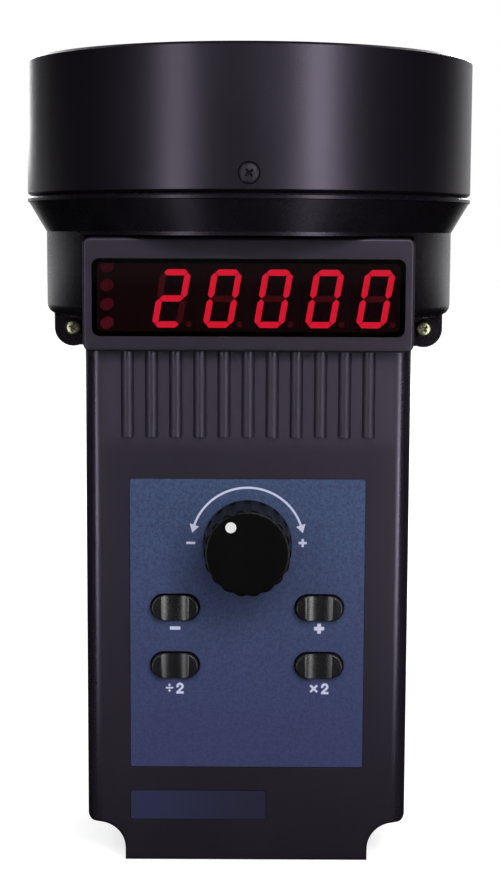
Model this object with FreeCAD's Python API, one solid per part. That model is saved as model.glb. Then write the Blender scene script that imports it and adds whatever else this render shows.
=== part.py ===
import FreeCAD, Part
import math
import os

# A hand-held xenon stroboscope, lamp head up. Millimetres. The head's axis is Z, the control
# panel faces -Y, and the origin is on the flat tail face, on the head's axis. Heights in this
# file count from a level tail_face below that face, and save() takes the difference off.

os.makedirs("parts", exist_ok=True)

V = FreeCAD.Vector
x_axis = V(1, 0, 0)
y_axis = V(0, 1, 0)
z_axis = V(0, 0, 1)

# Head: hood, rear bowl and what they hold
hood_radius = 60.0
hood_wall = 2.5
hood_foot = 174.3
head_top = 210.0
hood_lip_radius = 54.5
hood_lip_foot = 203.0
hood_lip_top = 205.0
hood_screw_height = 179.0
hood_screw_count = 4
spigot_radius = 57.4
spigot_wall = 1.8
spigot_top = 198.0
bowl_radius = 55.0
bowl_wall = 2.5
bowl_floor = 143.0
cone_foot = 165.0
flange_foot = 172.8
reflector_neck_radius = 12.0
reflector_neck_height = 161.0
reflector_mouth_radius = 54.0
reflector_mouth_height = 199.2
reflector_rim_radius = 57.2
lens_thickness = 3.0
gasket_thickness = 0.8
lead_hole_radius = 9.0
lug_x = 47.3
lug_z = 139.4
lug_radius = 5.0
lug_back = -5.0
lug_thickness = 5.0

# Body: two moulded shells with a stepped tail
wall = 2.6
body_half_width = 41.35
body_top = 143.0
body_front = -42.0
seam = -12.0
body_back = 13.0
front_rounding = 4.1
back_rounding = 5.0
tail_face = 2.1
tail_half_width = 31.5
step_height = 12.2
step_corner = 2.0
step_arc_x = 38.6
step_arc_z = 5.1
step_arc_radius = 7.1
tongue_height = 2.0
groove_width = 0.5
groove_depth = 0.4
post_x = 33.5
post_heights = (22.0, 126.0)

# Display housing, on top of the body's front
housing_front = -46.0
housing_back = -30.0
housing_foot = 135.2
housing_top = 163.6
window_half_width = 39.1
window_foot = 139.0
window_top = 158.4
window_front = -45.2
window_back = -43.9
digit_front = -42.7
digit_pitch = 12.8
first_digit_x = -19.35
digit_mid_z = 148.4
digit_height = 14.6
digit_width = 7.6
digit_slant = math.tan(math.radians(10))
segment_width = 1.55
reading = "20000"
lit_bars = {"2": "abged", "0": "abcdef"}
led_x = -35.85
led_heights = (156.2, 151.55, 146.75, 142.0)
board_thickness = 1.6
display_board_front = -34.6

# Control panel
rib_count = 11
rib_pitch = 6.1
rib_width = 3.3
rib_height = 1.2
rib_foot = 113.4
label_half_width = 30.0
label_foot = 27.3
label_top = 102.6
label_thickness = 0.4
plate_left = -30.0
plate_right = 5.0
plate_foot = 13.3
plate_top = 20.9
control_board_front = -33.0
knob_z = 86.0
knob_radius = 11.35
knob_top_radius = 10.4
knob_foot = -42.6
knob_front = -57.2
knob_flutes = 18
dot_radius = 1.35
dot_offset = 7.8
dot_angle = 122.0
shaft_radius = 3.0
button_x = 18.5
button_heights = {"minus": 69.4, "plus": 69.4, "half": 54.3, "double": 54.3}
button_half_length = 6.05
button_half_height = 3.15
button_gap = 0.3
button_front = -43.8
button_flange_front = -39.3
button_flange_back = -38.3
plunger_radius = 1.7
plunger_front = -37.6
switch_front = -36.5

# Pistol grip: stations along +Y of (y, middle height, half width, half height)
grip_stations = (
    (13.0, 70.0, 19.0, 23.5),
    (23.0, 66.6, 17.0, 20.6),
    (45.0, 57.5, 16.2, 18.8),
    (68.0, 48.6, 17.2, 20.0),
    (86.0, 41.6, 16.6, 19.2),
    (98.0, 37.0, 18.0, 21.5),
)
grip_wall = 2.4
grip_corner = 0.68
grip_end = 98.0
spigot_half_width = 10.5
spigot_foot = 56.0
spigot_head = 79.0
spigot_back = 22.0
grip_screws = ((17.5, 73.0), (60.0, 60.0), (84.0, 54.0))
inlet_z = 37.0
inlet_front = 99.6
rocker_y = 41.0
rocker_z = 77.3
rocker_slope = 20.0
rocker_tilt = 10.0
rocker_radius = 9.2
rocker_half_width = 6.3
bush_z = 112.0
bush_bore = 2.55
bush_radius = 5.0
bush_length = 9.0


def box(x0, x1, y0, y1, z0, z1):
    return Part.makeBox(x1 - x0, y1 - y0, z1 - z0, V(x0, y0, z0))


def rod_x(y, z, x0, x1, radius):
    return Part.makeCylinder(radius, x1 - x0, V(x0, y, z), x_axis)


def rod_y(x, z, y0, y1, radius):
    return Part.makeCylinder(radius, y1 - y0, V(x, y0, z), y_axis)


def rod_z(x, y, z0, z1, radius):
    return Part.makeCylinder(radius, z1 - z0, V(x, y, z0), z_axis)


def joined(shapes):
    whole = shapes[0].fuse(shapes[1:]) if len(shapes) > 1 else shapes[0]
    return whole.removeSplitter()


def turned(profile):
    """A closed profile of (radius, height) points, turned about the head's axis."""
    points = [V(radius, 0, height) for radius, height in profile]
    face = Part.Face(Part.makePolygon(points + points[:1]))
    return face.revolve(V(0, 0, 0), z_axis, 360)


def rounded_outline(x_mid, z_mid, half_x, half_z, radius, y):
    """A rectangle with round corners, or a stadium, in the plane at this y."""
    corners = []
    for quarter in range(4):
        side = 1 if quarter in (0, 3) else -1
        level = 1 if quarter in (0, 1) else -1
        centre = V(x_mid + side * (half_x - radius), y, z_mid + level * (half_z - radius))
        arc = []
        for step in range(3):
            angle = math.radians(90 * quarter + 45 * step)
            arc.append(centre + V(radius * math.cos(angle), 0, radius * math.sin(angle)))
        corners.append(arc)
    edges = []
    for quarter in range(4):
        here = corners[quarter]
        after = corners[(quarter + 1) % 4]
        edges.append(Part.Arc(*here).toShape())
        if here[2].distanceToPoint(after[0]) > 1e-6:
            edges.append(Part.LineSegment(here[2], after[0]).toShape())
    return Part.Wire(edges)


def rounded_block(x_mid, z_mid, half_x, half_z, radius, y0, y1):
    outline = rounded_outline(x_mid, z_mid, half_x, half_z, radius, y0)
    return Part.Face(outline).extrude(V(0, y1 - y0, 0))


def body_outline(inset, y):
    """The body seen from the front: straight sides, and round steps in to the tail."""
    side = body_half_width - inset
    tail = tail_half_width - inset
    corner = max(step_corner - inset, 0.0)
    sweep = step_arc_radius + inset
    arc_x = min(side - corner, step_arc_x)
    step = step_arc_z + math.sqrt(sweep ** 2 - (step_arc_x - arc_x) ** 2)
    start_angle = math.atan2(step - step_arc_z, arc_x - step_arc_x)
    middle_angle = (start_angle + math.pi) / 2
    bend = corner * (1 - math.sqrt(0.5))
    edges = []
    for hand in (1, -1):
        def place(x, z):
            return V(hand * x, y, z)

        edges.append((place(0, body_top - inset), place(side, body_top - inset)))
        edges.append((place(side, body_top - inset), place(side, step + corner)))
        if corner > 0:
            edges.append((place(side, step + corner), place(side - bend, step + bend),
                          place(side - corner, step)))
        if side - corner > arc_x + 1e-6:
            edges.append((place(side - corner, step), place(arc_x, step)))
        middle = place(step_arc_x + sweep * math.cos(middle_angle),
                       step_arc_z + sweep * math.sin(middle_angle))
        edges.append((place(arc_x, step), middle, place(tail, step_arc_z)))
        foot = tail_face + inset
        edges.append((place(tail, step_arc_z), place(tail, foot)))
        edges.append((place(tail, foot), place(0, foot)))
    shapes = []
    for points in edges:
        curve = Part.LineSegment(*points) if len(points) == 2 else Part.Arc(*points)
        shapes.append(curve.toShape())
    return Part.Wire(Part.__sortEdges__(shapes))


def body_block(inset, y0, y1):
    return Part.Face(body_outline(inset, y0)).extrude(V(0, y1 - y0, 0))


def seam_groove():
    """The fine line left round the body where the two shells meet."""
    band = box(-60, 60, seam - groove_width / 2, seam + groove_width / 2, -5, 160)
    return band.cut(body_block(groove_depth, seam - 5, seam + 5))


def rounded_sides(y_outer, y_inner, radius):
    """A tall bar, a touch wider than the body, whose two long edges at y_outer are round."""
    low = min(y_outer, y_inner)
    high = max(y_outer, y_inner)
    half = body_half_width + 0.05
    bar = box(-half, half, low, high, -1, body_top + 1)
    edges = [e for e in bar.Edges if on_line(e, y_outer)]
    return bar.makeFillet(radius, edges)


def on_line(edge, y):
    span = edge.BoundBox
    return span.ZLength > 50 and abs(span.YMin - y) < 1e-4 and abs(span.YMax - y) < 1e-4


def edges_at_y(shape, y, z_limit=1e9):
    found = []
    for edge in shape.Edges:
        span = edge.BoundBox
        if abs(span.YMin - y) < 1e-4 and abs(span.YMax - y) < 1e-4 and span.ZMax < z_limit:
            found.append(edge)
    return found


def tube(points, share, radius):
    """A wire of straight runs and tangent arcs, swept with a round section."""
    edges = []
    start = points[0]
    for before, corner, after in zip(points, points[1:], points[2:]):
        into = (corner - before).normalize()
        out = (after - corner).normalize()
        half_turn = into.getAngle(out) / 2
        setback = share * min((corner - before).Length, (after - corner).Length)
        bend = setback / math.tan(half_turn)
        first = corner - into * setback
        last = corner + out * setback
        inward = (out - into).normalize()
        middle = corner + inward * (bend / math.cos(half_turn) - bend)
        edges.append(Part.LineSegment(start, first).toShape())
        edges.append(Part.Arc(first, middle, last).toShape())
        start = last
    edges.append(Part.LineSegment(start, points[-1]).toShape())
    path = Part.Wire(edges)
    section = Part.Wire(Part.makeCircle(radius, points[0], points[1] - points[0]))
    return path.makePipeShell([section], True, False)


def save(name, shape):
    solids = shape.Solids
    result = solids[0] if len(solids) == 1 else Part.makeCompound(solids)
    result.translate(V(0, 0, -tail_face))
    if not result.isValid():
        print("not valid:", name)
    result.exportStep("parts/" + name + ".step")
    print(name, len(solids), round(sum(s.Volume for s in solids), 1))


def around_head(shape, count):
    turns = []
    for number in range(count):
        copy = shape.copy()
        copy.rotate(V(0, 0, 0), z_axis, 360 * number / count)
        turns.append(copy)
    return turns


def make_hood():
    inner = hood_radius - hood_wall
    groove = 0.9
    edge = 0.6
    shell = turned([
        (inner, hood_foot),
        (hood_radius - groove - 0.3, hood_foot),
        (hood_radius, hood_foot + groove),
        (hood_radius, head_top - edge),
        (hood_radius - edge, head_top),
        (inner + edge, head_top),
        (inner, head_top - edge),
        (inner, hood_lip_top),
        (hood_lip_radius + 0.4, hood_lip_top),
        (hood_lip_radius, hood_lip_top - 0.4),
        (hood_lip_radius, hood_lip_foot),
        (inner, hood_lip_foot),
    ])
    hole = rod_y(0, hood_screw_height, -hood_radius - 1, -inner + 1, 1.6)
    seat = rod_y(0, hood_screw_height, -hood_radius - 1, -hood_radius + 1.3, 2.75)
    return shell.cut(around_head(hole.fuse(seat), hood_screw_count))


def make_hood_screws():
    head = rod_y(0, hood_screw_height, -hood_radius - 0.15, -hood_radius + 1.3, 2.5)
    shank = rod_y(0, hood_screw_height, -hood_radius + 1.3, -50.6, 1.4)
    return Part.makeCompound(around_head(joined([head, shank]), hood_screw_count))


def parabola_height(radius):
    """The mirror's own curve, through its neck and its mouth."""
    rise = reflector_mouth_height - reflector_neck_height
    spread = reflector_mouth_radius ** 2 - reflector_neck_radius ** 2
    return reflector_neck_height + (radius ** 2 - reflector_neck_radius ** 2) * rise / spread


def parabola_arc(start, end, drop):
    """The arc that follows the mirror's curve between two radii, or a step below it."""
    points = [V(r, 0, parabola_height(r) - drop) for r in (start, (start + end) / 2, end)]
    return Part.Arc(*points).toShape()


def make_reflector():
    drop = 1.6
    waist = (reflector_neck_radius + reflector_mouth_radius) / 2
    spans = ((reflector_neck_radius, waist), (waist, reflector_mouth_radius))
    edges = [parabola_arc(start, end, depth) for depth in (0, drop) for start, end in spans]
    corners = [
        V(reflector_mouth_radius, 0, reflector_mouth_height),
        V(reflector_rim_radius, 0, reflector_mouth_height),
        V(reflector_rim_radius, 0, spigot_top),
        V(reflector_mouth_radius, 0, spigot_top),
        V(reflector_mouth_radius, 0, reflector_mouth_height - drop),
    ]
    for first, second in zip(corners, corners[1:]):
        if first.distanceToPoint(second) > 1e-6:
            edges.append(Part.LineSegment(first, second).toShape())
    neck = V(reflector_neck_radius, 0, reflector_neck_height)
    edges.append(Part.LineSegment(neck, neck - V(0, 0, drop)).toShape())
    face = Part.Face(Part.Wire(Part.__sortEdges__(edges)))
    return face.revolve(V(0, 0, 0), z_axis, 360)


def make_lens():
    top = reflector_mouth_height + lens_thickness
    edge = 0.4
    return turned([
        (0, reflector_mouth_height),
        (reflector_rim_radius - edge, reflector_mouth_height),
        (reflector_rim_radius, reflector_mouth_height + edge),
        (reflector_rim_radius, top),
        (0, top),
    ])


def make_lens_gasket():
    foot = reflector_mouth_height + lens_thickness
    return turned([
        (hood_lip_radius + 0.2, foot),
        (reflector_rim_radius, foot),
        (reflector_rim_radius, foot + gasket_thickness),
        (hood_lip_radius + 0.2, foot + gasket_thickness),
    ])


def make_rear_bowl():
    floor_top = bowl_floor + bowl_wall
    round_edge = 2.8
    turn = math.sqrt(0.5)
    spigot_inner = spigot_radius - spigot_wall
    shell = turned([
        (0, bowl_floor),
        (bowl_radius - round_edge, bowl_floor),
        (bowl_radius - round_edge * (1 - 0.383), bowl_floor + round_edge * 0.076),
        (bowl_radius - round_edge * (1 - turn), bowl_floor + round_edge * (1 - turn)),
        (bowl_radius - round_edge * 0.076, bowl_floor + round_edge * (1 - 0.383)),
        (bowl_radius, bowl_floor + round_edge),
        (bowl_radius, cone_foot),
        (hood_radius - 0.4, flange_foot),
        (hood_radius, flange_foot + 0.2),
        (hood_radius, hood_foot - 0.5),
        (hood_radius - 0.5, hood_foot),
        (spigot_radius, hood_foot),
        (spigot_radius, spigot_top),
        (spigot_inner, spigot_top),
        (spigot_inner, flange_foot + 0.5),
        (bowl_radius - bowl_wall, cone_foot - 0.5),
        (bowl_radius - bowl_wall, floor_top),
        (0, floor_top),
    ])
    outside = turned([
        (0, bowl_floor),
        (bowl_radius - round_edge, bowl_floor),
        (bowl_radius, bowl_floor + round_edge),
        (bowl_radius, cone_foot),
        (hood_radius - 1.5, flange_foot),
        (0, flange_foot),
    ])
    gap = 0.5
    pocket_x = body_half_width + gap
    pocket_y = housing_back + gap
    pocket_z = housing_top + gap
    pocket_wall = box(-pocket_x - bowl_wall, pocket_x + bowl_wall, -70, pocket_y + bowl_wall,
                      bowl_floor, pocket_z + bowl_wall).common(outside)
    boss = rod_y(0, hood_screw_height, -spigot_radius + 0.5, -51.0, 3.6)
    bosses = around_head(boss, hood_screw_count)
    lugs = []
    for hand in (-1, 1):
        x = hand * lug_x
        front = lug_back - lug_thickness
        lugs.append(rod_y(x, lug_z, front, lug_back, lug_radius))
        lugs.append(box(x - lug_radius, x + lug_radius, front, lug_back, lug_z, bowl_floor + 1))
    base_boss = turned([(lead_hole_radius, floor_top - 0.5), (16.5, floor_top - 0.5),
                        (16.5, floor_top + 1.0), (lead_hole_radius, floor_top + 1.0)])
    bowl = joined([shell, pocket_wall, base_boss] + bosses + lugs)
    cuts = [box(-pocket_x, pocket_x, -70, pocket_y, bowl_floor - 10, pocket_z)]
    cuts.append(rod_z(0, 0, bowl_floor - 1, floor_top + 2, lead_hole_radius))
    bore = rod_y(0, hood_screw_height, -60, -50, 1.45)
    cuts.extend(around_head(bore, hood_screw_count))
    for hand in (-1, 1):
        cuts.append(rod_y(hand * lug_x, lug_z, -20, 0, 1.6))
        cuts.append(rod_z(hand * 12.6, 0, bowl_floor - 1, floor_top + 2, 1.35))
    bowl = bowl.cut(cuts)
    return max(bowl.Solids, key=lambda solid: solid.Volume)


def make_lug_screws():
    screws = []
    for hand in (-1, 1):
        x = hand * lug_x
        front = lug_back - lug_thickness
        head = rod_y(x, lug_z, front - 1.7, front, 2.2)
        head = head.makeFillet(0.7, edges_at_y(head, front - 1.7))
        screws.append(joined([head, rod_y(x, lug_z, front, 1.5, 1.4)]))
    return Part.makeCompound(screws)


base_foot = bowl_floor + bowl_wall + 1.0


def make_lamp_base():
    """A ceramic stem with a flange; two bores carry the tube's legs."""
    stem_top = 166.0
    stem = turned([
        (0, base_foot),
        (16.0, base_foot),
        (16.0, base_foot + 3.0),
        (10.6, base_foot + 3.0),
        (10.6, stem_top - 1.0),
        (9.6, stem_top),
        (0, stem_top),
    ])
    cuts = [rod_z(hand * 6.5, 0, stem_top - 6, stem_top + 1, 3.3) for hand in (-1, 1)]
    cuts.extend(rod_z(hand * 12.6, 0, base_foot - 1, base_foot + 4, 1.5) for hand in (-1, 1))
    cuts.append(rod_z(0, 0, base_foot - 1, base_foot + 6, 5.0))
    return stem.cut(cuts)


def make_lamp_base_screws():
    screws = []
    for hand in (-1, 1):
        head = rod_z(hand * 12.6, 0, base_foot + 3.0, base_foot + 4.6, 2.0)
        shank = rod_z(hand * 12.6, 0, bowl_floor + 0.5, base_foot + 3.0, 1.25)
        screws.append(joined([head, shank]))
    return Part.makeCompound(screws)


def make_flash_tube():
    """A U of glass tube: two straight legs and a half-round bend."""
    leg = 6.5
    foot = 163.5
    bend_height = 184.0
    radius = 2.6
    path = Part.Wire([
        Part.LineSegment(V(-leg, 0, foot), V(-leg, 0, bend_height)).toShape(),
        Part.Arc(V(-leg, 0, bend_height), V(0, 0, bend_height + leg), V(leg, 0, bend_height)).toShape(),
        Part.LineSegment(V(leg, 0, bend_height), V(leg, 0, foot)).toShape(),
    ])
    section = Part.Wire(Part.makeCircle(radius, V(-leg, 0, foot), z_axis))
    return path.makePipeShell([section], True, False)


def make_tube_electrodes():
    caps = []
    for hand in (-1, 1):
        outer = rod_z(hand * 6.5, 0, 160.0, 168.5, 3.15)
        caps.append(outer.cut(rod_z(hand * 6.5, 0, 163.5, 170, 2.6)))
    return Part.makeCompound(caps)


def screw_posts(y0, y1, radius):
    posts = []
    for z in post_heights:
        for hand in (-1, 1):
            posts.append(rod_y(hand * post_x, z, y0, y1, radius))
    return posts


def display_housing():
    middle = (housing_foot + housing_top) / 2
    half = (housing_top - housing_foot) / 2
    block = rounded_block(0, middle, body_half_width, half, 2.0, housing_front, housing_back)
    return block.makeFillet(0.8, edges_at_y(block, housing_front))


def make_ribs():
    """Half-round ribs that run up into the housing's underside."""
    radius = ((rib_width / 2) ** 2 + rib_height ** 2) / (2 * rib_height)
    axis_y = body_front - rib_height + radius
    ribs = []
    for number in range(rib_count):
        x = (number - (rib_count - 1) / 2) * rib_pitch
        rod = rod_z(x, axis_y, rib_foot, housing_foot + 0.5, radius)
        ribs.append(rod)
    return ribs


def button_places():
    places = []
    for name, z in button_heights.items():
        hand = -1 if name in ("minus", "half") else 1
        places.append((name, hand * button_x, z))
    return places


def make_front_shell():
    block = body_block(0, body_front, seam)
    block = block.common(rounded_sides(body_front, seam, front_rounding))
    block = block.makeFillet(1.0, edges_at_y(block, body_front, step_height + 3))
    shell = joined([block, display_housing()] + make_ribs())
    inner_front = body_front + wall
    cuts = [body_block(wall, inner_front, seam + 1)]
    cuts.append(box(-38.75, 38.75, window_back + 0.9, housing_back - wall + 0.1, 138.0, 161.0))
    middle = (window_foot + window_top) / 2
    half = (window_top - window_foot) / 2
    cuts.append(rounded_block(0, middle, window_half_width, half, 2.0, -50, window_back))
    cuts.append(rounded_block(0, middle, window_half_width - 1.2, half - 1.2, 1.2, -50, -42))
    shell = shell.cut(cuts)
    posts = screw_posts(inner_front - 0.5, seam, 3.8)
    board_posts = [rod_y(x, z, inner_front - 0.5, control_board_front, 3.2)
                   for x, z in board_post_places()]
    shell = joined([shell] + posts + board_posts)
    label_mid = (label_foot + label_top) / 2
    label_half = (label_top - label_foot) / 2
    label_back = body_front + label_thickness
    cuts = [rounded_block(0, label_mid, label_half_width + 0.15, label_half + 0.15, 0.8,
                          -50, label_back)]
    plate_mid_x = (plate_left + plate_right) / 2
    plate_mid_z = (plate_foot + plate_top) / 2
    cuts.append(rounded_block(plate_mid_x, plate_mid_z, (plate_right - plate_left) / 2 + 0.15,
                              (plate_top - plate_foot) / 2 + 0.15, 0.6, -50, label_back))
    cuts.append(rod_y(0, knob_z, -50, -30, 3.6))
    for _, x, z in button_places():
        cuts.append(rounded_block(x, z, button_half_length + button_gap,
                                  button_half_height + button_gap,
                                  button_half_height + button_gap - 0.001, -50, -39))
    cuts.extend(screw_posts(-30, seam + 1, 1.45))
    cuts.extend(rod_y(x, z, -38, control_board_front + 1, 1.1) for x, z in board_post_places())
    cuts.append(seam_groove())
    return shell.cut(cuts)


def board_post_places():
    return [(hand * 31.0, z) for hand in (-1, 1) for z in (46.0, 108.0)]


def make_back_shell():
    block = body_block(0, seam, body_back)
    block = block.common(rounded_sides(body_back, seam, back_rounding))
    block = block.makeFillet(1.0, edges_at_y(block, body_back, step_height + 3))
    inner_back = body_back - wall
    tongue = body_block(wall + 0.1, seam - tongue_height, seam + 1)
    shell = joined([block, tongue])
    shell = shell.cut([body_block(wall + 1.1, seam - 5, seam + tongue_height),
                       body_block(wall, seam + tongue_height - 0.5, inner_back)])
    ears = []
    for hand in (-1, 1):
        x = hand * lug_x
        disc = rod_y(x, lug_z, lug_back, lug_back + lug_thickness, lug_radius)
        ears.append(disc.common(box(-60, 60, -10, 10, lug_z - 10, body_top)))
        near, far = sorted((hand * (body_half_width - 1), x))
        ears.append(box(near, far, lug_back, lug_back + lug_thickness,
                        lug_z - lug_radius, body_top))
    posts = screw_posts(seam, inner_back + 0.5, 3.8)
    board_posts = [rod_y(x, z, main_board_back, inner_back + 0.5, 3.0)
                   for x, z in main_board_places()]
    bush_boss = rod_y(0, bush_z, body_back - bush_length - 1.5, inner_back + 0.5, 8.0)
    spigot = rounded_block(0, (spigot_foot + spigot_head) / 2, spigot_half_width,
                           (spigot_head - spigot_foot) / 2, 2.5, inner_back, spigot_back)
    shell = joined([shell, bush_boss, spigot] + ears + posts + board_posts)
    cuts = [rounded_block(0, (spigot_foot + spigot_head) / 2, spigot_half_width - 2.3,
                          (spigot_head - spigot_foot) / 2 - 2.3, 1.5, 0, 40)]
    cuts.append(rod_y(0, bush_z, body_back - bush_length, body_back + 1, bush_radius))
    cuts.append(rod_z(0, 0, body_top - 5, body_top + 1, lead_hole_radius))
    cuts.extend(screw_posts(seam - 1, body_back + 1, 1.6))
    cuts.extend(screw_posts(body_back - 2.3, body_back + 1, 3.1))
    cuts.extend(rod_y(x, z, main_board_back - 1, inner_back - 1, 1.1)
                for x, z in main_board_places())
    cuts.extend(rod_y(hand * lug_x, lug_z, lug_back - 1, lug_back + 6, 1.45) for hand in (-1, 1))
    first_y, first_z = grip_screws[0]
    cuts.append(rod_x(first_y, first_z, -20, 20, 1.6))
    cuts.append(seam_groove())
    return shell.cut(cuts)


main_board_back = -7.4
main_board_front = main_board_back - board_thickness


def main_board_places():
    return [(hand * 24.0, z) for hand in (-1, 1) for z in (24.0, 126.0)]


def make_shell_screws():
    screws = []
    for z in post_heights:
        for hand in (-1, 1):
            head = rod_y(hand * post_x, z, body_back - 2.3, body_back - 0.5, 2.8)
            shank = rod_y(hand * post_x, z, -26, body_back - 2.3, 1.4)
            screws.append(joined([head, shank]))
    return Part.makeCompound(screws)


def make_control_label():
    middle = (label_foot + label_top) / 2
    half = (label_top - label_foot) / 2
    back = body_front + label_thickness
    label = rounded_block(0, middle, label_half_width, half, 0.7, body_front + 0.05, back)
    cuts = [rod_y(0, knob_z, -50, -30, 3.6)]
    for _, x, z in button_places():
        cuts.append(rounded_block(x, z, button_half_length + button_gap + 0.1,
                                  button_half_height + button_gap + 0.1,
                                  button_half_height + button_gap + 0.099, -50, -30))
    return label.cut(cuts)


def make_trim_plate():
    middle_x = (plate_left + plate_right) / 2
    middle_z = (plate_foot + plate_top) / 2
    return rounded_block(middle_x, middle_z, (plate_right - plate_left) / 2,
                         (plate_top - plate_foot) / 2, 0.5, body_front - 0.15,
                         body_front + label_thickness)


def make_display_window():
    middle = (window_foot + window_top) / 2
    half = (window_top - window_foot) / 2
    return rounded_block(0, middle, window_half_width - 0.05, half - 0.05, 1.95,
                         window_front, window_back)


def digit_x(number):
    return first_digit_x + number * digit_pitch


def make_digit_modules():
    modules = []
    for number in range(len(reading)):
        x = digit_x(number)
        modules.append(box(x - 6.3, x + 6.3, digit_front + 0.15, display_board_front,
                           digit_mid_z - 9.5, digit_mid_z + 9.5))
    return modules


def segment_outline(name):
    """A bar of the figure, mitred at both ends, in the digit's own upright frame."""
    w = segment_width / 2
    half_x = digit_width / 2 - w
    half_z = digit_height / 2 - w
    gap = 0.09
    spans = {
        "a": ((-half_x, half_z), (half_x, half_z)),
        "b": ((half_x, half_z), (half_x, 0)),
        "c": ((half_x, 0), (half_x, -half_z)),
        "d": ((half_x, -half_z), (-half_x, -half_z)),
        "e": ((-half_x, -half_z), (-half_x, 0)),
        "f": ((-half_x, 0), (-half_x, half_z)),
        "g": ((-half_x, 0), (half_x, 0)),
    }
    (x0, z0), (x1, z1) = spans[name]
    length = math.hypot(x1 - x0, z1 - z0)
    along = ((x1 - x0) / length, (z1 - z0) / length)
    across = (-along[1], along[0])
    corners = []
    for run, side in ((gap, 0), (gap + w, w), (length - gap - w, w),
                      (length - gap, 0), (length - gap - w, -w), (gap + w, -w)):
        corners.append((x0 + along[0] * run + across[0] * side,
                        z0 + along[1] * run + across[1] * side))
    return corners


def make_segments(lit):
    bars = []
    for number, figure in enumerate(reading):
        for name in "abcdefg":
            if (name in lit_bars[figure]) != lit:
                continue
            points = [V(digit_x(number) + x + z * digit_slant, digit_front, digit_mid_z + z)
                      for x, z in segment_outline(name)]
            face = Part.Face(Part.makePolygon(points + points[:1]))
            bars.append(face.extrude(V(0, 0.15, 0)))
        if not lit:
            x = digit_x(number) + 5.6 - digit_height / 2 * digit_slant
            bars.append(rod_y(x, digit_mid_z - digit_height / 2 + 0.9, digit_front,
                              digit_front + 0.15, 0.75))
    return bars


def make_indicator_leds():
    lamps = []
    for z in led_heights:
        body = rod_y(led_x, z, -41.6, display_board_front, 1.45)
        dome = Part.makeSphere(1.45, V(led_x, -41.6, z))
        lamps.append(joined([body, dome]))
    return lamps


def make_control_board():
    board = box(-36, 36, control_board_front, control_board_front + board_thickness, 42, 112)
    return board.cut([rod_y(x, z, -40, -25, 1.3) for x, z in board_post_places()])


def make_board_screws():
    screws = []
    back = control_board_front + board_thickness
    for x, z in board_post_places():
        screws.append(joined([rod_y(x, z, back, back + 1.6, 2.3), rod_y(x, z, -37.5, back, 1.05)]))
    for x, z in main_board_places():
        front = main_board_front
        screws.append(joined([rod_y(x, z, front - 1.6, front, 2.3),
                              rod_y(x, z, front, main_board_back + 6, 1.05)]))
    return screws


def make_encoder_body():
    """A square rotary encoder with the threaded bushing that stands through the panel."""
    back = control_board_front
    case = box(-8, 8, body_front + wall, back, knob_z - 8, knob_z + 8)
    bushing = rod_y(0, knob_z, -45.6, body_front + wall + 0.5, 3.5)
    return joined([case, bushing]).cut(rod_y(0, knob_z, -50, back - 1.5, shaft_radius + 0.06))


def make_encoder_nut():
    points = []
    for corner in range(7):
        angle = math.radians(60 * corner)
        points.append(V(5.6 * math.cos(angle), body_front + 0.05, knob_z + 5.6 * math.sin(angle)))
    nut = Part.Face(Part.makePolygon(points)).extrude(V(0, -1.9, 0))
    return nut.cut(rod_y(0, knob_z, -50, -30, 3.5))


def make_encoder_shaft():
    return rod_y(0, knob_z, -54.0, control_board_front - 1.8, shaft_radius)


def make_knob():
    """A tapered knob with a fluted side and a hollow underside over the nut."""
    profile = [
        (0, knob_foot),
        (knob_radius - 0.3, knob_foot),
        (knob_radius, knob_foot - 0.3),
        (knob_radius, knob_foot - 1.6),
        (knob_top_radius, knob_front + 0.9),
        (knob_top_radius - 0.3, knob_front + 0.25),
        (knob_top_radius - 1.0, knob_front),
        (0, knob_front),
    ]
    points = [V(radius, y, knob_z) for radius, y in profile]
    face = Part.Face(Part.makePolygon(points + points[:1]))
    knob = face.revolve(V(0, 0, knob_z), y_axis, 360)
    cuts = [rod_y(0, knob_z, -47.2, knob_foot + 1, 8.2)]
    cuts.append(rod_y(0, knob_z, -54.0, -47, shaft_radius))
    flute_radius = 1.5
    lean = math.atan2(knob_radius - knob_top_radius, knob_foot - 1.6 - knob_front - 0.9)
    for number in range(knob_flutes):
        start = V(knob_radius + flute_radius - 0.55, knob_foot - 1.6, knob_z)
        flute = Part.makeCylinder(flute_radius, 16, start, V(-math.sin(lean), -math.cos(lean), 0))
        flute = flute.fuse(Part.makeSphere(flute_radius, start))
        flute.rotate(V(0, 0, knob_z), y_axis, 360 * (number + 0.5) / knob_flutes)
        cuts.append(flute)
    cuts.append(knob_dot_at(0))
    return knob.cut(cuts)


def knob_dot_at(proud):
    x = dot_offset * math.cos(math.radians(dot_angle))
    z = knob_z + dot_offset * math.sin(math.radians(dot_angle))
    return rod_y(x, z, knob_front - proud, knob_front + 0.6, dot_radius)


def make_button(x, z):
    """A stadium cap with a scooped face, on a flange that stops it falling out."""
    cap = rounded_block(x, z, button_half_length, button_half_height, button_half_height - 0.001,
                        button_front, button_flange_front + 0.2)
    cap = cap.makeFillet(0.5, edges_at_y(cap, button_front))
    scoop_radius = 9.5
    scoop = Part.makeCylinder(scoop_radius, 20, V(x, button_front - scoop_radius + 0.9, z - 10),
                              z_axis)
    cap = cap.cut(scoop)
    flange = rounded_block(x, z, button_half_length + 1.2, button_half_height + 1.2,
                           button_half_height + 1.199, button_flange_front, button_flange_back)
    stem = rod_y(x, z, button_flange_back, plunger_front, 2.0)
    return joined([cap, flange, stem])


def make_tact_switches():
    switches = []
    for _, x, z in button_places():
        case = box(x - 3, x + 3, switch_front, control_board_front, z - 3, z + 3)
        switches.append(case.cut(rod_y(x, z, -40, switch_front + 2.0, plunger_radius + 0.06)))
    return switches


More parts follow.
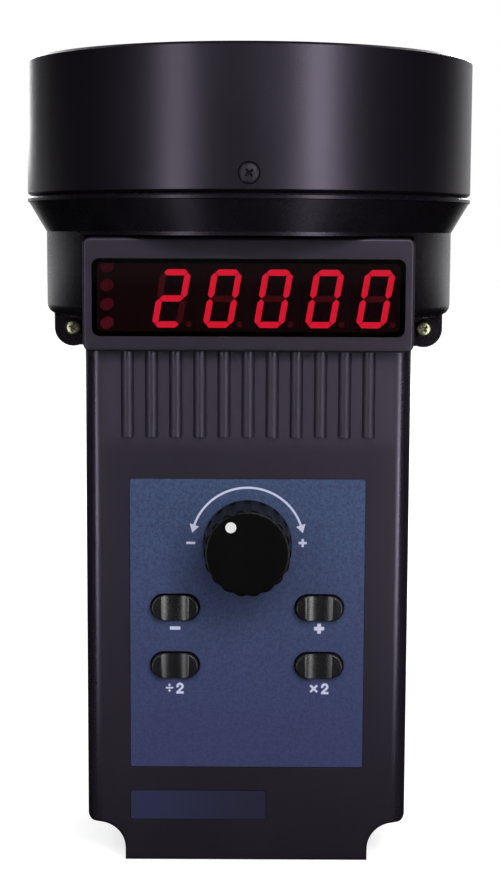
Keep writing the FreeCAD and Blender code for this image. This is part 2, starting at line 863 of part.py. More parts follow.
def make_main_board():
    board = box(-28.5, 28.5, main_board_front, main_board_back, 18, 132)
    return board.cut([rod_y(x, z, -20, 0, 1.3) for x, z in main_board_places()])


transformer_windows = ((-23.0, -17.0), (-7.0, -1.0))


def make_transformer_core():
    core = box(-28, 4, -23, -13, 20, 48)
    return core.cut([box(x0, x1, -24, -12, 25, 43) for x0, x1 in transformer_windows])


def make_transformer_winding():
    coil = rounded_block(-12, 34, 10.8, 8.8, 2.0, -27.5, main_board_front)
    return coil.cut(box(-17.0, -7.0, -23.0, -13.0, 20, 48))


def make_flash_capacitors():
    cans = []
    for x in (12.0, 26.6):
        can = rod_z(x, -16.2, 30, 64, 7.1)
        cans.append(can.makeChamfer(0.6, [e for e in can.Edges if e.BoundBox.ZLength < 1e-4]))
    return cans


def make_trigger_coil():
    coil = rod_z(-14, -16.0, 102, 116, 5.0)
    ends = [rod_z(-14, -16.0, z, z + 1.4, 7.0) for z in (100.6, 116)]
    return joined([coil] + ends)


def make_fuse():
    return rod_x(-14.2, 76.0, -20, 0, 2.5)


def make_fuse_clips():
    clips = []
    for x in (-18.5, -4.5):
        clip = box(x, x + 3, -17.4, main_board_front, 72.8, 79.2)
        clips.append(clip.cut([rod_x(-14.2, 76.0, -30, 10, 2.5), box(-30, 10, -30, -15.6, 74, 78)]))
    return clips


def make_lamp_leads():
    return [rod_z(x, -6.0, 124, base_foot, 1.0) for x in (-4.0, 0.0, 4.0)]


def make_mains_leads():
    """Two wires from the inlet's tabs, through the grip and its spigot, to the main board."""
    leads = []
    for hand in (-1, 1):
        x = hand * 3.2
        route = [V(x, 78, 37), V(x, 64, 37), V(x, 34, 62), V(x, main_board_back, 62)]
        leads.append(tube(route, 0.45, 1.1))
    return leads


def make_display_ribbon():
    return box(-8, 8, display_board_front + board_thickness, -32.55, 112, 139.6)


def make_display_board():
    return box(-38, 38, display_board_front, display_board_front + board_thickness, 138.7, 160.5)


def grip_loft(inset):
    sections = []
    for y, middle, half_x, half_z in grip_stations:
        narrow = half_x - inset
        sections.append(rounded_outline(0, middle, narrow, half_z - inset, narrow * grip_corner, y))
    return Part.makeLoft(sections, True, False)


def to_rocker(shape):
    """Moves a shape from the switch's own frame, Z out of the grip, to its place."""
    shape.rotate(V(0, 0, 0), x_axis, -rocker_slope)
    shape.translate(V(0, rocker_y, rocker_z))
    return shape


def make_grip_halves():
    outer = grip_loft(0)
    cavity = grip_loft(grip_wall).common(box(-30, 30, 0, grip_end - 2.6, 0, 120))
    shell = outer.cut(cavity)
    pillars = []
    for y, z in grip_screws:
        pillars.append(rod_x(y, z, -20, 20, 4.2))
    shell = joined([shell, Part.makeCompound(pillars).common(outer)])
    cuts = [box(-spigot_half_width - 0.15, spigot_half_width + 0.15, 10, spigot_back + 0.3,
                spigot_foot - 0.15, spigot_head + 0.15)]
    cuts.append(to_rocker(box(-9.75, 9.75, -12.25, 12.25, -0.4, 8)))
    cuts.append(to_rocker(box(-8.1, 8.1, -10.6, 10.6, -15, 8)))
    cuts.append(rounded_block(0, inlet_z, 10.9, 6.1, 1.5, 80, 110))
    cuts.append(rounded_block(0, inlet_z, 13.3, 7.7, 2.1, grip_end - 0.8, 110))
    groove = box(-groove_width / 2, groove_width / 2, 13.5, grip_end - 0.9, 0, 110)
    cuts.append(groove.cut(grip_loft(groove_depth)))
    for y, z in grip_screws:
        cuts.append(rod_x(y, z, -30, -14.2, 3.1))
        cuts.append(rod_x(y, z, -15, 0, 1.6))
        cuts.append(rod_x(y, z, -1, 12.6, 1.45))
    shell = shell.cut(cuts)
    halves = []
    for x0, x1 in ((-30, 0), (0, 30)):
        half = shell.common(box(x0, x1, 0, 120, -10, 130))
        halves.append(max(half.Solids, key=lambda solid: solid.Volume))
    return halves


def make_grip_screws():
    screws = []
    for y, z in grip_screws:
        screws.append(joined([rod_x(y, z, -16.0, -14.2, 2.8), rod_x(y, z, -14.2, 12.0, 1.4)]))
    return screws


def make_switch_frame():
    """A bezel with a box behind it that carries the rocker's pivots."""
    bezel = box(-9.6, 9.6, -12.1, 12.1, -0.4, 1.5)
    bezel = bezel.makeFillet(0.7, [e for e in bezel.Edges if e.BoundBox.ZMin > 1.4])
    case = box(-8.0, 8.0, -10.5, 10.5, -14, -0.4)
    frame = joined([bezel, case])
    hollow = box(-6.5, 6.5, -9.5, 9.5, -8, 5)
    return to_rocker(frame.cut([hollow, rod_x(0, 0, -7.3, 7.3, 1.06)]))


def make_power_rocker():
    """Two faces in a shallow V, round below, on two stub pins."""
    drum = rod_x(0, 0, -rocker_half_width, rocker_half_width, rocker_radius)
    tip = 2.4
    reach = math.sqrt(rocker_radius ** 2 - tip ** 2)
    points = [V(-10, -12, tip), V(-10, -reach, tip), V(-10, 0, 1.0), V(-10, reach, tip),
              V(-10, 12, tip), V(-10, 12, -4.5), V(-10, -12, -4.5)]
    keep = Part.Face(Part.makePolygon(points + points[:1])).extrude(V(20, 0, 0))
    rocker = joined([drum.common(keep), rod_x(0, 0, -7.2, 7.2, 1.0)])
    rocker.rotate(V(0, 0, 0), x_axis, -rocker_tilt)
    return to_rocker(rocker)


def make_power_inlet():
    """A two-pin mains inlet: a shroud with a figure-of-eight socket."""
    body = rounded_block(0, inlet_z, 10.8, 6.0, 1.4, 83, inlet_front - 1)
    flange = rounded_block(0, inlet_z, 13.2, 7.6, 2.0, grip_end - 0.8, inlet_front)
    lobes = [rod_y(hand * 4.1, inlet_z, 87.6, 110, 4.35) for hand in (-1, 1)]
    waist = box(-4.1, 4.1, 87.6, 110, inlet_z - 3.7, inlet_z + 3.7)
    holes = [rod_y(hand * 4.3, inlet_z, 80, 90, 1.2) for hand in (-1, 1)]
    return joined([body, flange]).cut(lobes + [waist] + holes)


def make_inlet_pins():
    pins = []
    for hand in (-1, 1):
        pin = rod_y(hand * 4.3, inlet_z, 83, 97.4, 1.2)
        pin = pin.makeFillet(0.5, edges_at_y(pin, 97.4))
        tab = box(hand * 4.3 - 0.4, hand * 4.3 + 0.4, 78, 83, inlet_z - 2, inlet_z + 2)
        pins.append(joined([pin, tab]))
    return pins


def make_tripod_bush():
    bush = rod_y(0, bush_z, body_back - bush_length, body_back, bush_radius)
    return bush.cut(rod_y(0, bush_z, body_back - bush_length - 1, body_back + 1, bush_bore))


def group(shapes):
    return Part.makeCompound(shapes)


def main():
    save("hood", make_hood())
    save("hood_screws", make_hood_screws())
    save("lens", make_lens())
    save("lens_gasket", make_lens_gasket())
    save("reflector", make_reflector())
    save("rear_bowl", make_rear_bowl())
    save("lug_screws", make_lug_screws())
    save("lamp_base", make_lamp_base())
    save("lamp_base_screws", make_lamp_base_screws())
    save("flash_tube", make_flash_tube())
    save("tube_electrodes", make_tube_electrodes())
    save("lamp_leads", group(make_lamp_leads()))
    save("front_shell", make_front_shell())
    save("back_shell", make_back_shell())
    save("shell_screws", make_shell_screws())
    save("control_label", make_control_label())
    save("trim_plate", make_trim_plate())
    save("display_window", make_display_window())
    save("display_board", make_display_board())
    save("digit_modules", group(make_digit_modules()))
    save("lit_segments", group(make_segments(True)))
    save("dark_segments", group(make_segments(False)))
    save("indicator_leds", group(make_indicator_leds()))
    save("display_ribbon", make_display_ribbon())
    save("control_board", make_control_board())
    save("board_screws", group(make_board_screws()))
    save("encoder_body", make_encoder_body())
    save("encoder_nut", make_encoder_nut())
    save("encoder_shaft", make_encoder_shaft())
    save("knob", make_knob())
    save("knob_dot", knob_dot_at(0.05))
    for name, x, z in button_places():
        save("button_" + name, make_button(x, z))
        save("plunger_" + name, rod_y(x, z, plunger_front, switch_front + 0.6, plunger_radius))
    save("tact_switches", group(make_tact_switches()))
    save("main_board", make_main_board())
    save("transformer_core", make_transformer_core())
    save("transformer_winding", make_transformer_winding())
    save("flash_capacitors", group(make_flash_capacitors()))
    save("trigger_coil", make_trigger_coil())
    save("fuse", make_fuse())
    save("fuse_clips", group(make_fuse_clips()))
    save("mains_leads", group(make_mains_leads()))
    left, right = make_grip_halves()
    save("grip_left", left)
    save("grip_right", right)
    save("grip_screws", group(make_grip_screws()))
    save("switch_frame", make_switch_frame())
    save("power_rocker", make_power_rocker())
    save("power_inlet", make_power_inlet())
    save("inlet_pins", group(make_inlet_pins()))
    save("tripod_bush", make_tripod_bush())


main()
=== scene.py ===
import math
import bpy
import bmesh
from mathutils import Matrix, Vector
from mathutils.bvhtree import BVHTree


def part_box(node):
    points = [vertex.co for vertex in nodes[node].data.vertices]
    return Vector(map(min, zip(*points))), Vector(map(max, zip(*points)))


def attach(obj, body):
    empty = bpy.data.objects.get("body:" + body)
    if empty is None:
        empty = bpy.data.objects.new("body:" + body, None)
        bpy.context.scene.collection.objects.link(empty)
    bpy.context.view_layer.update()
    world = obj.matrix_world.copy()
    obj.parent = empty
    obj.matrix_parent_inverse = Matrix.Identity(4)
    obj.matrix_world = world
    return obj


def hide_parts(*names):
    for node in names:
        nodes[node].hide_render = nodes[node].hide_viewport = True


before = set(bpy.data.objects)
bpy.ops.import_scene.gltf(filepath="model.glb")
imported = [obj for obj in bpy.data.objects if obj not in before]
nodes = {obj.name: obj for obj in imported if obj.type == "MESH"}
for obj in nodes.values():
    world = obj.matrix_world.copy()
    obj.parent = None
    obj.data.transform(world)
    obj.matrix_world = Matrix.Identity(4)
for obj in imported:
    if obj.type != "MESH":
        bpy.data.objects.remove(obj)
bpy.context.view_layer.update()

mm = 0.001
print("frame loaded:", len(nodes), "parts")


# Node trees: materials and grown shapes

class Wave:
    # a socket of a node tree, so that sums on it add Math nodes
    def __init__(self, graph, socket):
        self.graph = graph
        self.socket = socket

    def __add__(self, other):
        return self.graph.sum("ADD", self, other)

    def __sub__(self, other):
        return self.graph.sum("SUBTRACT", self, other)

    def __rsub__(self, other):
        return self.graph.sum("SUBTRACT", other, self)

    def __mul__(self, other):
        return self.graph.sum("MULTIPLY", self, other)

    def __truediv__(self, other):
        return self.graph.sum("DIVIDE", self, other)

    def __rtruediv__(self, other):
        return self.graph.sum("DIVIDE", other, self)

    def __pow__(self, other):
        return self.graph.sum("POWER", self, other)

    def __lt__(self, other):
        return self.graph.sum("LESS_THAN", self, other)


class Graph:
    # a node tree under construction
    def __init__(self, tree):
        self.tree = tree
        self.tree.nodes.clear()

    def add(self, kind, settings=None, values=None, out=0):
        node = self.tree.nodes.new(kind)
        for key, value in (settings or {}).items():
            setattr(node, key, value)
        for key, value in (values or {}).items():
            socket = node.inputs[key]
            if isinstance(value, Wave):
                self.tree.links.new(value.socket, socket)
            elif socket.type == "RGBA" and len(value) == 3:
                socket.default_value = (*value, 1)
            else:
                socket.default_value = value
        return Wave(self, node.outputs[out])

    def sum(self, operation, first, second=0.0):
        return self.add("ShaderNodeMath", {"operation": operation}, {0: first, 1: second})

    def eased(self, value, low, high, start, end):
        return self.add("ShaderNodeMapRange", {"interpolation_type": "SMOOTHSTEP"}, {
            0: value, 1: low, 2: high, 3: start, 4: end})

    def axis(self, vector, letter):
        return self.add("ShaderNodeSeparateXYZ", {}, {0: vector}, out=letter)


class Look(Graph):
    # one material
    def __init__(self, name):
        self.material = bpy.data.materials.new(name)
        self.material.use_nodes = True
        super().__init__(self.material.node_tree)
        self.output = self.tree.nodes.new("ShaderNodeOutputMaterial")

    def place(self):
        return self.add("ShaderNodeTexCoord", out="Object")

    def noise(self, size, detail=2.0, stretch=None):
        spot = self.place()
        if stretch:
            spot = self.add("ShaderNodeMapping", {}, {"Vector": spot, "Scale": stretch})
        return self.add("ShaderNodeTexNoise", {}, {
            "Vector": spot, "Scale": 1 / (size * mm), "Detail": detail})

    def tint(self, factor, first, second):
        return self.add("ShaderNodeMix", {"data_type": "RGBA"},
                        {0: factor, 6: first, 7: second}, out=2)

    def bump(self, height, depth):
        return self.add("ShaderNodeBump", {}, {"Height": height, "Distance": depth * mm})

    def surface(self, values):
        shader = self.add("ShaderNodeBsdfPrincipled", {}, values)
        self.tree.links.new(shader.socket, self.output.inputs["Surface"])
        return self.material


class Growth(Graph):
    # a Geometry Nodes tree with named sizes, grown once into a plain mesh
    def __init__(self, name, sizes):
        super().__init__(bpy.data.node_groups.new(name, "GeometryNodeTree"))
        ports = self.tree.interface
        ports.new_socket("Geometry", in_out="INPUT", socket_type="NodeSocketGeometry")
        ports.new_socket("Geometry", in_out="OUTPUT", socket_type="NodeSocketGeometry")
        self.sizes = sizes
        for label, value in sizes.items():
            kind = "NodeSocketInt" if isinstance(value, int) else "NodeSocketFloat"
            ports.new_socket(label, in_out="INPUT", socket_type=kind)
        self.start = self.tree.nodes.new("NodeGroupInput")
        self.end = self.tree.nodes.new("NodeGroupOutput")

    def size(self, label):
        return Wave(self, self.start.outputs[label])

    def finish(self, geometry, look):
        real = self.add("GeometryNodeRealizeInstances", {}, {0: geometry})
        painted = self.add("GeometryNodeSetMaterial", {}, {0: real, "Material": finish[look]})
        self.tree.links.new(painted.socket, self.end.inputs[0])

    def grow(self, name, mesh, **changes):
        host = bpy.data.objects.new(name, mesh)
        bpy.context.scene.collection.objects.link(host)
        modifier = host.modifiers.new("grow", "NODES")
        modifier.node_group = self.tree
        for port in self.tree.interface.items_tree:
            if port.in_out == "INPUT" and port.name in self.sizes:
                modifier[port.identifier] = changes.get(port.name, self.sizes[port.name])
        ready = host.evaluated_get(bpy.context.evaluated_depsgraph_get())
        grown = bpy.data.meshes.new_from_object(ready)
        host.modifiers.remove(modifier)
        host.data = grown
        grown.name = name
        painted = [material for material in grown.materials if material]
        grown.materials.clear()
        grown.materials.append(painted[0])
        grown.polygons.foreach_set("material_index", [0] * len(grown.polygons))
        return host


def moulded(name, dark, pale, rough, grain=0.32, depth=0.022, shine=0.5, haze=0.05,
            cast=(1.0, 1.0, 1.0), wear=None):
    # spark-eroded moulded plastic: fine grain, faint flow clouds and handling marks
    look = Look(name)
    fine = look.noise(grain, 3.0)
    cloud = look.noise(26, 3.0)
    smear = look.noise(7, 4.0, (1, 1, 0.25))
    colour = look.tint(cloud, dark, pale)
    gloss = (cloud - 0.5) * haze + (smear - 0.5) * haze + (fine - 0.5) * 0.06 + rough
    if wear:
        gloss = gloss + wear(look)
    return look.surface({"Base Color": colour, "Roughness": gloss,
                         "Specular IOR Level": shine, "Specular Tint": (*cast, 1.0),
                         "Normal": look.bump(fine, depth)})


def smooth(name, dark, pale, rough, metal=0.0, shine=0.5, size=9, grain=0.004, wear=None,
           extra=None):
    # a plain even finish with slight clouds in its colour and gloss
    look = Look(name)
    cloud = look.noise(size, 3.0)
    speck = look.noise(0.5, 2.0)
    gloss = (cloud - 0.5) * 0.08 + (speck - 0.5) * 0.04 + rough
    values = {"Base Color": look.tint(cloud, dark, pale),
              "Roughness": gloss + wear(look) if wear else gloss,
              "Metallic": metal, "Specular IOR Level": shine,
              "Normal": look.bump(speck, grain)}
    values.update(extra or {})
    return look.surface(values)


def glowing(name, core, edge, strength, size=1.2):
    # light through tinted epoxy: a little uneven along each bar; for the unlit segments this weak
    # glow is painted light
    look = Look(name)
    cloud = look.noise(size, 2.0)
    colour = look.tint(cloud, core, edge)
    return look.surface({"Base Color": (0.05, 0.004, 0.006),
                         "Roughness": (cloud - 0.5) * 0.2 + 0.45,
                         "Emission Color": colour, "Emission Strength": strength})


print("materials: helpers ready")

violet = (0.855, 0.74, 1.0)  # the black plastic's cast in its shine
wearSet = {"edges": -0.13, "ribs": 0.13, "skirt": 0.14}  # what each adds to the roughness
wearPlaces = {"edgeWidth": 3.3, "edgeBlend": 1, "edgeFrom": 6, "edgeTo": 3, "ribLow": 110,
              "ribFoot": 3, "ribHigh": 131, "ribHead": 2, "ribReach": 37, "ribSide": 1,
              "skirtFrom": 0.4, "skirtTo": 1.4}  # millimetres


def bodyWear(look):
    # the rounded front edges glossier up to the display, the ribs duller
    w = {name: value * mm for name, value in wearPlaces.items()}
    side = look.sum("ABSOLUTE", look.axis(look.place(), "X"))
    height = look.axis(look.place(), "Z")
    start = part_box("front_shell")[1].x - w["edgeWidth"]
    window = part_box("display_window")[0].z
    edges = look.eased(side, start - w["edgeBlend"], start + w["edgeBlend"], 0.0,
                       wearSet["edges"])
    edges = edges * look.eased(height, window - w["edgeFrom"], window - w["edgeTo"], 1.0, 0.0)
    ribs = look.eased(height, w["ribLow"] - w["ribFoot"], w["ribLow"] + w["ribFoot"], 0.0,
                      wearSet["ribs"])
    ribs = ribs * look.eased(height, w["ribHigh"], w["ribHigh"] + w["ribHead"], 1.0, 0.0)
    return edges + ribs * look.eased(side, w["ribReach"] - w["ribSide"],
                                     w["ribReach"] + w["ribSide"], 1.0, 0.0)


def knobWear(look):
    # the fluted skirt a little duller than the knob's face
    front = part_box("knob")[0].y
    return look.eased(look.axis(look.place(), "Y"), front + wearPlaces["skirtFrom"] * mm,
                      front + wearPlaces["skirtTo"] * mm, 0.0, wearSet["skirt"])


finish = {
    "hoodBlack": moulded("hoodBlack", (0.0050, 0.0040, 0.0065), (0.0085, 0.0070, 0.0105), 0.31,
                         cast=violet, shine=0.62),
    "bowlBlack": moulded("bowlBlack", (0.0045, 0.0038, 0.0058), (0.0070, 0.0058, 0.0086), 0.27,
                         cast=violet, shine=0.42),
    "bodyBlack": moulded("bodyBlack", (0.0112, 0.0088, 0.0142), (0.0156, 0.0126, 0.0193), 0.39,
                         cast=violet, shine=0.62, wear=bodyWear),
    "gripBlack": moulded("gripBlack", (0.0100, 0.0090, 0.0120), (0.0150, 0.0135, 0.0175), 0.52,
                         grain=0.55, depth=0.06),
    "rubber": moulded("gasketRubber", (0.012, 0.012, 0.012), (0.022, 0.022, 0.022), 0.72),
    "switchBlack": smooth("switchBlack", (0.010, 0.010, 0.011), (0.017, 0.017, 0.018), 0.32),
    "knobBlack": smooth("knobBlack", (0.0022, 0.0021, 0.0023), (0.0040, 0.0037, 0.0041), 0.30,
                        shine=0.12, wear=knobWear),
    "buttonBlack": smooth("buttonBlack", (0.007, 0.007, 0.008), (0.013, 0.012, 0.014), 0.27,
                          grain=0.0008),
    "plunger": smooth("plungerWhite", (0.55, 0.54, 0.50), (0.62, 0.61, 0.57), 0.45),
    "switchCase": smooth("switchCase", (0.012, 0.012, 0.013), (0.02, 0.02, 0.021), 0.5),
    "dotPaint": smooth("dotPaint", (0.86, 0.86, 0.84), (0.93, 0.93, 0.92), 0.42, size=1.5),
    "zinc": smooth("zincPassivate", (0.33, 0.33, 0.20), (0.48, 0.47, 0.33), 0.36, metal=1.0,
                   size=1.4),
    "steel": smooth("brightSteel", (0.55, 0.55, 0.56), (0.68, 0.68, 0.69), 0.30, metal=1.0,
                    size=1.5),
    "blackSteel": smooth("blackSteel", (0.008, 0.007, 0.009), (0.018, 0.016, 0.020), 0.48,
                         size=1.5, shine=0.35, extra={"Specular Tint": (*violet, 1.0)}),
    "brass": smooth("turnedBrass", (0.66, 0.46, 0.20), (0.78, 0.58, 0.30), 0.28, metal=1.0, size=2),
    "ceramic": smooth("whiteCeramic", (0.72, 0.70, 0.64), (0.82, 0.80, 0.75), 0.42),
    "tubeMetal": smooth("tubeMetal", (0.42, 0.41, 0.40), (0.56, 0.55, 0.54), 0.35, metal=1.0,
                        size=2),
    "boardGreen": smooth("boardGreen", (0.020, 0.085, 0.035), (0.032, 0.120, 0.050), 0.36),
    "digitCase": smooth("digitCase", (0.0045, 0.0035, 0.0035), (0.0075, 0.0055, 0.0055), 0.55,
                        shine=0.04),
    "boardBlack": smooth("boardBlack", (0.0045, 0.0045, 0.0045), (0.0080, 0.0078, 0.0078), 0.55,
                         shine=0.04),
    "coreSteel": smooth("coreSteel", (0.30, 0.30, 0.31), (0.42, 0.42, 0.43), 0.45, metal=1.0,
                        size=2),
    "tape": smooth("windingTape", (0.62, 0.42, 0.06), (0.74, 0.52, 0.10), 0.38),
    "sleeve": smooth("capacitorSleeve", (0.015, 0.020, 0.075), (0.024, 0.030, 0.110), 0.35),
    "resin": smooth("coilResin", (0.020, 0.016, 0.014), (0.034, 0.028, 0.024), 0.30),
    "wire": smooth("wireCover", (0.030, 0.028, 0.030), (0.050, 0.047, 0.050), 0.42),
    "ribbon": smooth("ribbonGrey", (0.32, 0.32, 0.33), (0.42, 0.42, 0.43), 0.48),
    "print": smooth("printLilac", (0.62, 0.64, 0.86), (0.70, 0.72, 0.93), 0.45, size=3),
    "litRed": glowing("litRed", (1.0, 0.045, 0.12), (0.88, 0.025, 0.08), 1.9),
    # the unlit segments: a faint painted glow so that they show dimly through the window
    "darkRed": glowing("darkRed", (0.60, 0.10, 0.12), (0.45, 0.07, 0.09), 0.14),
}


def labelLook():
    # printed polycarbonate: deep blue ink with a fine print grain, paler towards the top as painted
    # light
    look = Look("labelBlue")
    grain = look.noise(0.55, 2.0)
    cloud = look.noise(18, 2.0)
    low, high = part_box("control_label")
    # painted light: the blue grows paler towards the top, where the lamps above light the face more
    rise = look.eased(look.axis(look.place(), "Z"), low.z, high.z, 0.0, 1.0)
    base = look.tint(rise, (0.046, 0.054, 0.152), (0.054, 0.094, 0.196))
    patch = look.noise(1.1, 3.0)
    speckled = look.tint(look.eased(grain + patch * 0.8, 0.6, 1.2, 0.0, 0.75) + cloud * 0.2,
                         base, (0.030, 0.038, 0.106))
    return look.surface({"Base Color": speckled, "Roughness": (grain - 0.5) * 0.12 + 0.48,
                         "Specular IOR Level": 0.4, "Normal": look.bump(grain, 0.008)})


def trimLook():
    # the bare name strip: blue at one end, near black at the other
    look = Look("trimStrip")
    grain = look.noise(0.5, 2.0)
    low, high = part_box("trim_plate")
    fade = look.eased(look.axis(look.place(), "X"), low.x, high.x, 0.0, 1.0)
    base = look.tint(fade, (0.024, 0.030, 0.082), (0.018, 0.016, 0.040))
    return look.surface({"Base Color": look.tint(grain * 0.4, base, (0.016, 0.017, 0.040)),
                         "Roughness": (grain - 0.5) * 0.1 + 0.42,
                         "Normal": look.bump(grain, 0.006)})


def indicatorLook():
    # the four indicator lamps, the lower the brighter
    look = Look("ledRed")
    low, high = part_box("indicator_leds")
    rise = look.eased(look.axis(look.place(), "Z"), low.z, high.z, 0.20, 0.05)
    cloud = look.noise(0.9, 2.0)
    return look.surface({"Base Color": (0.03, 0.004, 0.008),
                         "Roughness": (cloud - 0.5) * 0.2 + 0.45,
                         "Emission Color": look.tint(rise + cloud * 0.06, (0.0, 0.0, 0.0),
                                                     (0.62, 0.085, 0.21)),
                         "Emission Strength": 1.0})


def clearLook(name, colour, rough, index):
    # cast acrylic or glass, with the faintest haze
    look = Look(name)
    haze = look.noise(14, 3.0)
    return look.surface({"Base Color": look.tint(haze, colour, tuple(0.97 * c for c in colour)),
                         "Roughness": haze * 0.02 + rough, "IOR": index,
                         "Transmission Weight": 1.0})


def mirrorLook():
    # vacuum-metallised bowl with faint lathe rings
    look = Look("reflectorMirror")
    ringRate = 5200  # radians per metre: a ring every 1.2 mm
    ring = look.sum("SINE", look.axis(look.place(), "Z") * ringRate)
    cloud = look.noise(11, 3.0)
    return look.surface({"Base Color": look.tint(cloud, (0.82, 0.82, 0.83), (0.90, 0.90, 0.91)),
                         "Metallic": 1.0, "Roughness": cloud * 0.06 + 0.07,
                         "Normal": look.bump(ring * 0.5 + cloud, 0.006)})


finish["label"] = labelLook()
finish["trim"] = trimLook()
finish["ledRed"] = indicatorLook()
finish["windowRed"] = clearLook("windowRed", (0.36, 0.12, 0.15), 0.03, 1.49)
finish["lensClear"] = clearLook("lensClear", (0.97, 0.98, 0.98), 0.01, 1.49)
finish["tubeGlass"] = clearLook("tubeGlass", (0.97, 0.97, 0.98), 0.01, 1.47)
finish["mirror"] = mirrorLook()
print("materials:", len(finish))


# Pieces

def settle(piece, body, *stoodFor, slot=None):
    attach(piece, body)
    if stoodFor:
        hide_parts(*stoodFor)
    return piece


def newPiece(name, mesh, look):
    piece = bpy.data.objects.new(name, mesh)
    bpy.context.scene.collection.objects.link(piece)
    mesh.materials.clear()
    mesh.materials.append(finish[look])
    return piece


def shade(mesh, angle):
    # smooth faces, with the edges sharper than this angle kept crisp
    build = bmesh.new()
    build.from_mesh(mesh)
    for face in build.faces:
        face.smooth = True
    for edge in build.edges:
        if len(edge.link_faces) == 2:
            edge.smooth = edge.calc_face_angle(0.0) < math.radians(angle)
    build.to_mesh(mesh)
    build.free()


def smoothCopy(node, name, look, angle=30):
    # the part's own shape, merged so that its round faces shade smoothly
    mesh = nodes[node].data.copy()
    mesh.name = name
    if "custom_normal" in mesh.attributes:
        mesh.attributes.remove(mesh.attributes["custom_normal"])
    build = bmesh.new()
    build.from_mesh(mesh)
    bmesh.ops.remove_doubles(build, verts=build.verts, dist=1e-6)
    build.to_mesh(mesh)
    build.free()
    shade(mesh, angle)
    return newPiece(name, mesh, look)


def dress(node, look):
    # an inner part keeps its own mesh and takes a material
    data = nodes[node].data
    data.materials.clear()
    data.materials.append(finish[look])


shells = {
    "hood": ("hoodShell", "hoodBlack", "root"),
    "rear_bowl": ("rearBowl", "bowlBlack", "root"),
    "front_shell": ("frontShell", "bodyBlack", "root"),
    "back_shell": ("backShell", "bodyBlack", "root"),
    "grip_left": ("gripLeft", "gripBlack", "root"),
    "grip_right": ("gripRight", "gripBlack", "root"),
    "control_label": ("controlLabel", "label", "root"),
    "trim_plate": ("trimStrip", "trim", "root"),
    "display_window": ("displayWindow", "windowRed", "root"),
    "lens": ("frontLens", "lensClear", "root"),
    "lens_gasket": ("lensGasket", "rubber", "root"),
    "reflector": ("reflectorBowl", "mirror", "root"),
    "lamp_base": ("lampBase", "ceramic", "root"),
    "flash_tube": ("flashTube", "tubeGlass", "root"),
    "tube_electrodes": ("tubeElectrodes", "tubeMetal", "root"),
    "indicator_leds": ("indicatorLamps", "ledRed", "root"),
    "knob_dot": ("knobDot", "dotPaint", "knob_body"),
    "encoder_nut": ("panelNut", "steel", "root"),
    "encoder_shaft": ("encoderShaft", "steel", "knob_body"),
    "switch_frame": ("switchFrame", "switchBlack", "root"),
    "power_rocker": ("powerRocker", "switchBlack", "rocker_body"),
    "power_inlet": ("mainsInlet", "switchBlack", "root"),
    "inlet_pins": ("inletPins", "steel", "root"),
    "tripod_bush": ("tripodBush", "brass", "root"),
}
for node, (name, look, body) in shells.items():
    settle(smoothCopy(node, name, look), body, node)

inner = {
    "lamp_leads": "wire", "display_board": "boardBlack",
    "digit_modules": "digitCase", "lit_segments": "litRed", "dark_segments": "darkRed",
    "display_ribbon": "ribbon", "control_board": "boardGreen", "board_screws": "steel",
    "encoder_body": "switchCase", "plunger_minus": "plunger", "plunger_plus": "plunger",
    "plunger_half": "plunger", "plunger_double": "plunger", "tact_switches": "switchCase",
    "main_board": "boardGreen", "transformer_core": "coreSteel", "transformer_winding": "tape",
    "flash_capacitors": "sleeve", "trigger_coil": "resin", "fuse": "tubeGlass",
    "fuse_clips": "brass", "mains_leads": "wire",
}
for node, look in inner.items():
    dress(node, look)
print("parts dressed:", len(shells), "shells and", len(inner), "inner parts")


# Screws, grown on the CAD ones' places

screwSet = {"seed": 7, "dome": 0.28, "slot": 0.74, "deep": 1.1, "overlap": 0.3}
screws = {
    "hood_screws": {"name": "hoodScrews", "look": "blackSteel", "aim": "out", "head": 2.5,
                    "tall": 1.45, "shank": 1.4, "cross": 3.1},
    "lug_screws": {"name": "lugScrews", "look": "zinc", "aim": (0, -1, 0), "head": 2.2, "tall": 1.7,
                   "shank": 1.4, "cross": 2.9},
    "lamp_base_screws": {"name": "lampBaseScrews", "look": "steel", "aim": (0, 0, 1), "head": 2.0,
                         "tall": 1.6, "shank": 1.25, "cross": 2.6},
    "shell_screws": {"name": "shellScrews", "look": "blackSteel", "aim": (0, 1, 0), "head": 2.8,
                     "tall": 1.8, "shank": 1.4, "cross": 3.5},
    "grip_screws": {"name": "gripScrews", "look": "blackSteel", "aim": (-1, 0, 0), "head": 2.8,
                    "tall": 1.8, "shank": 1.4, "cross": 3.5},
}


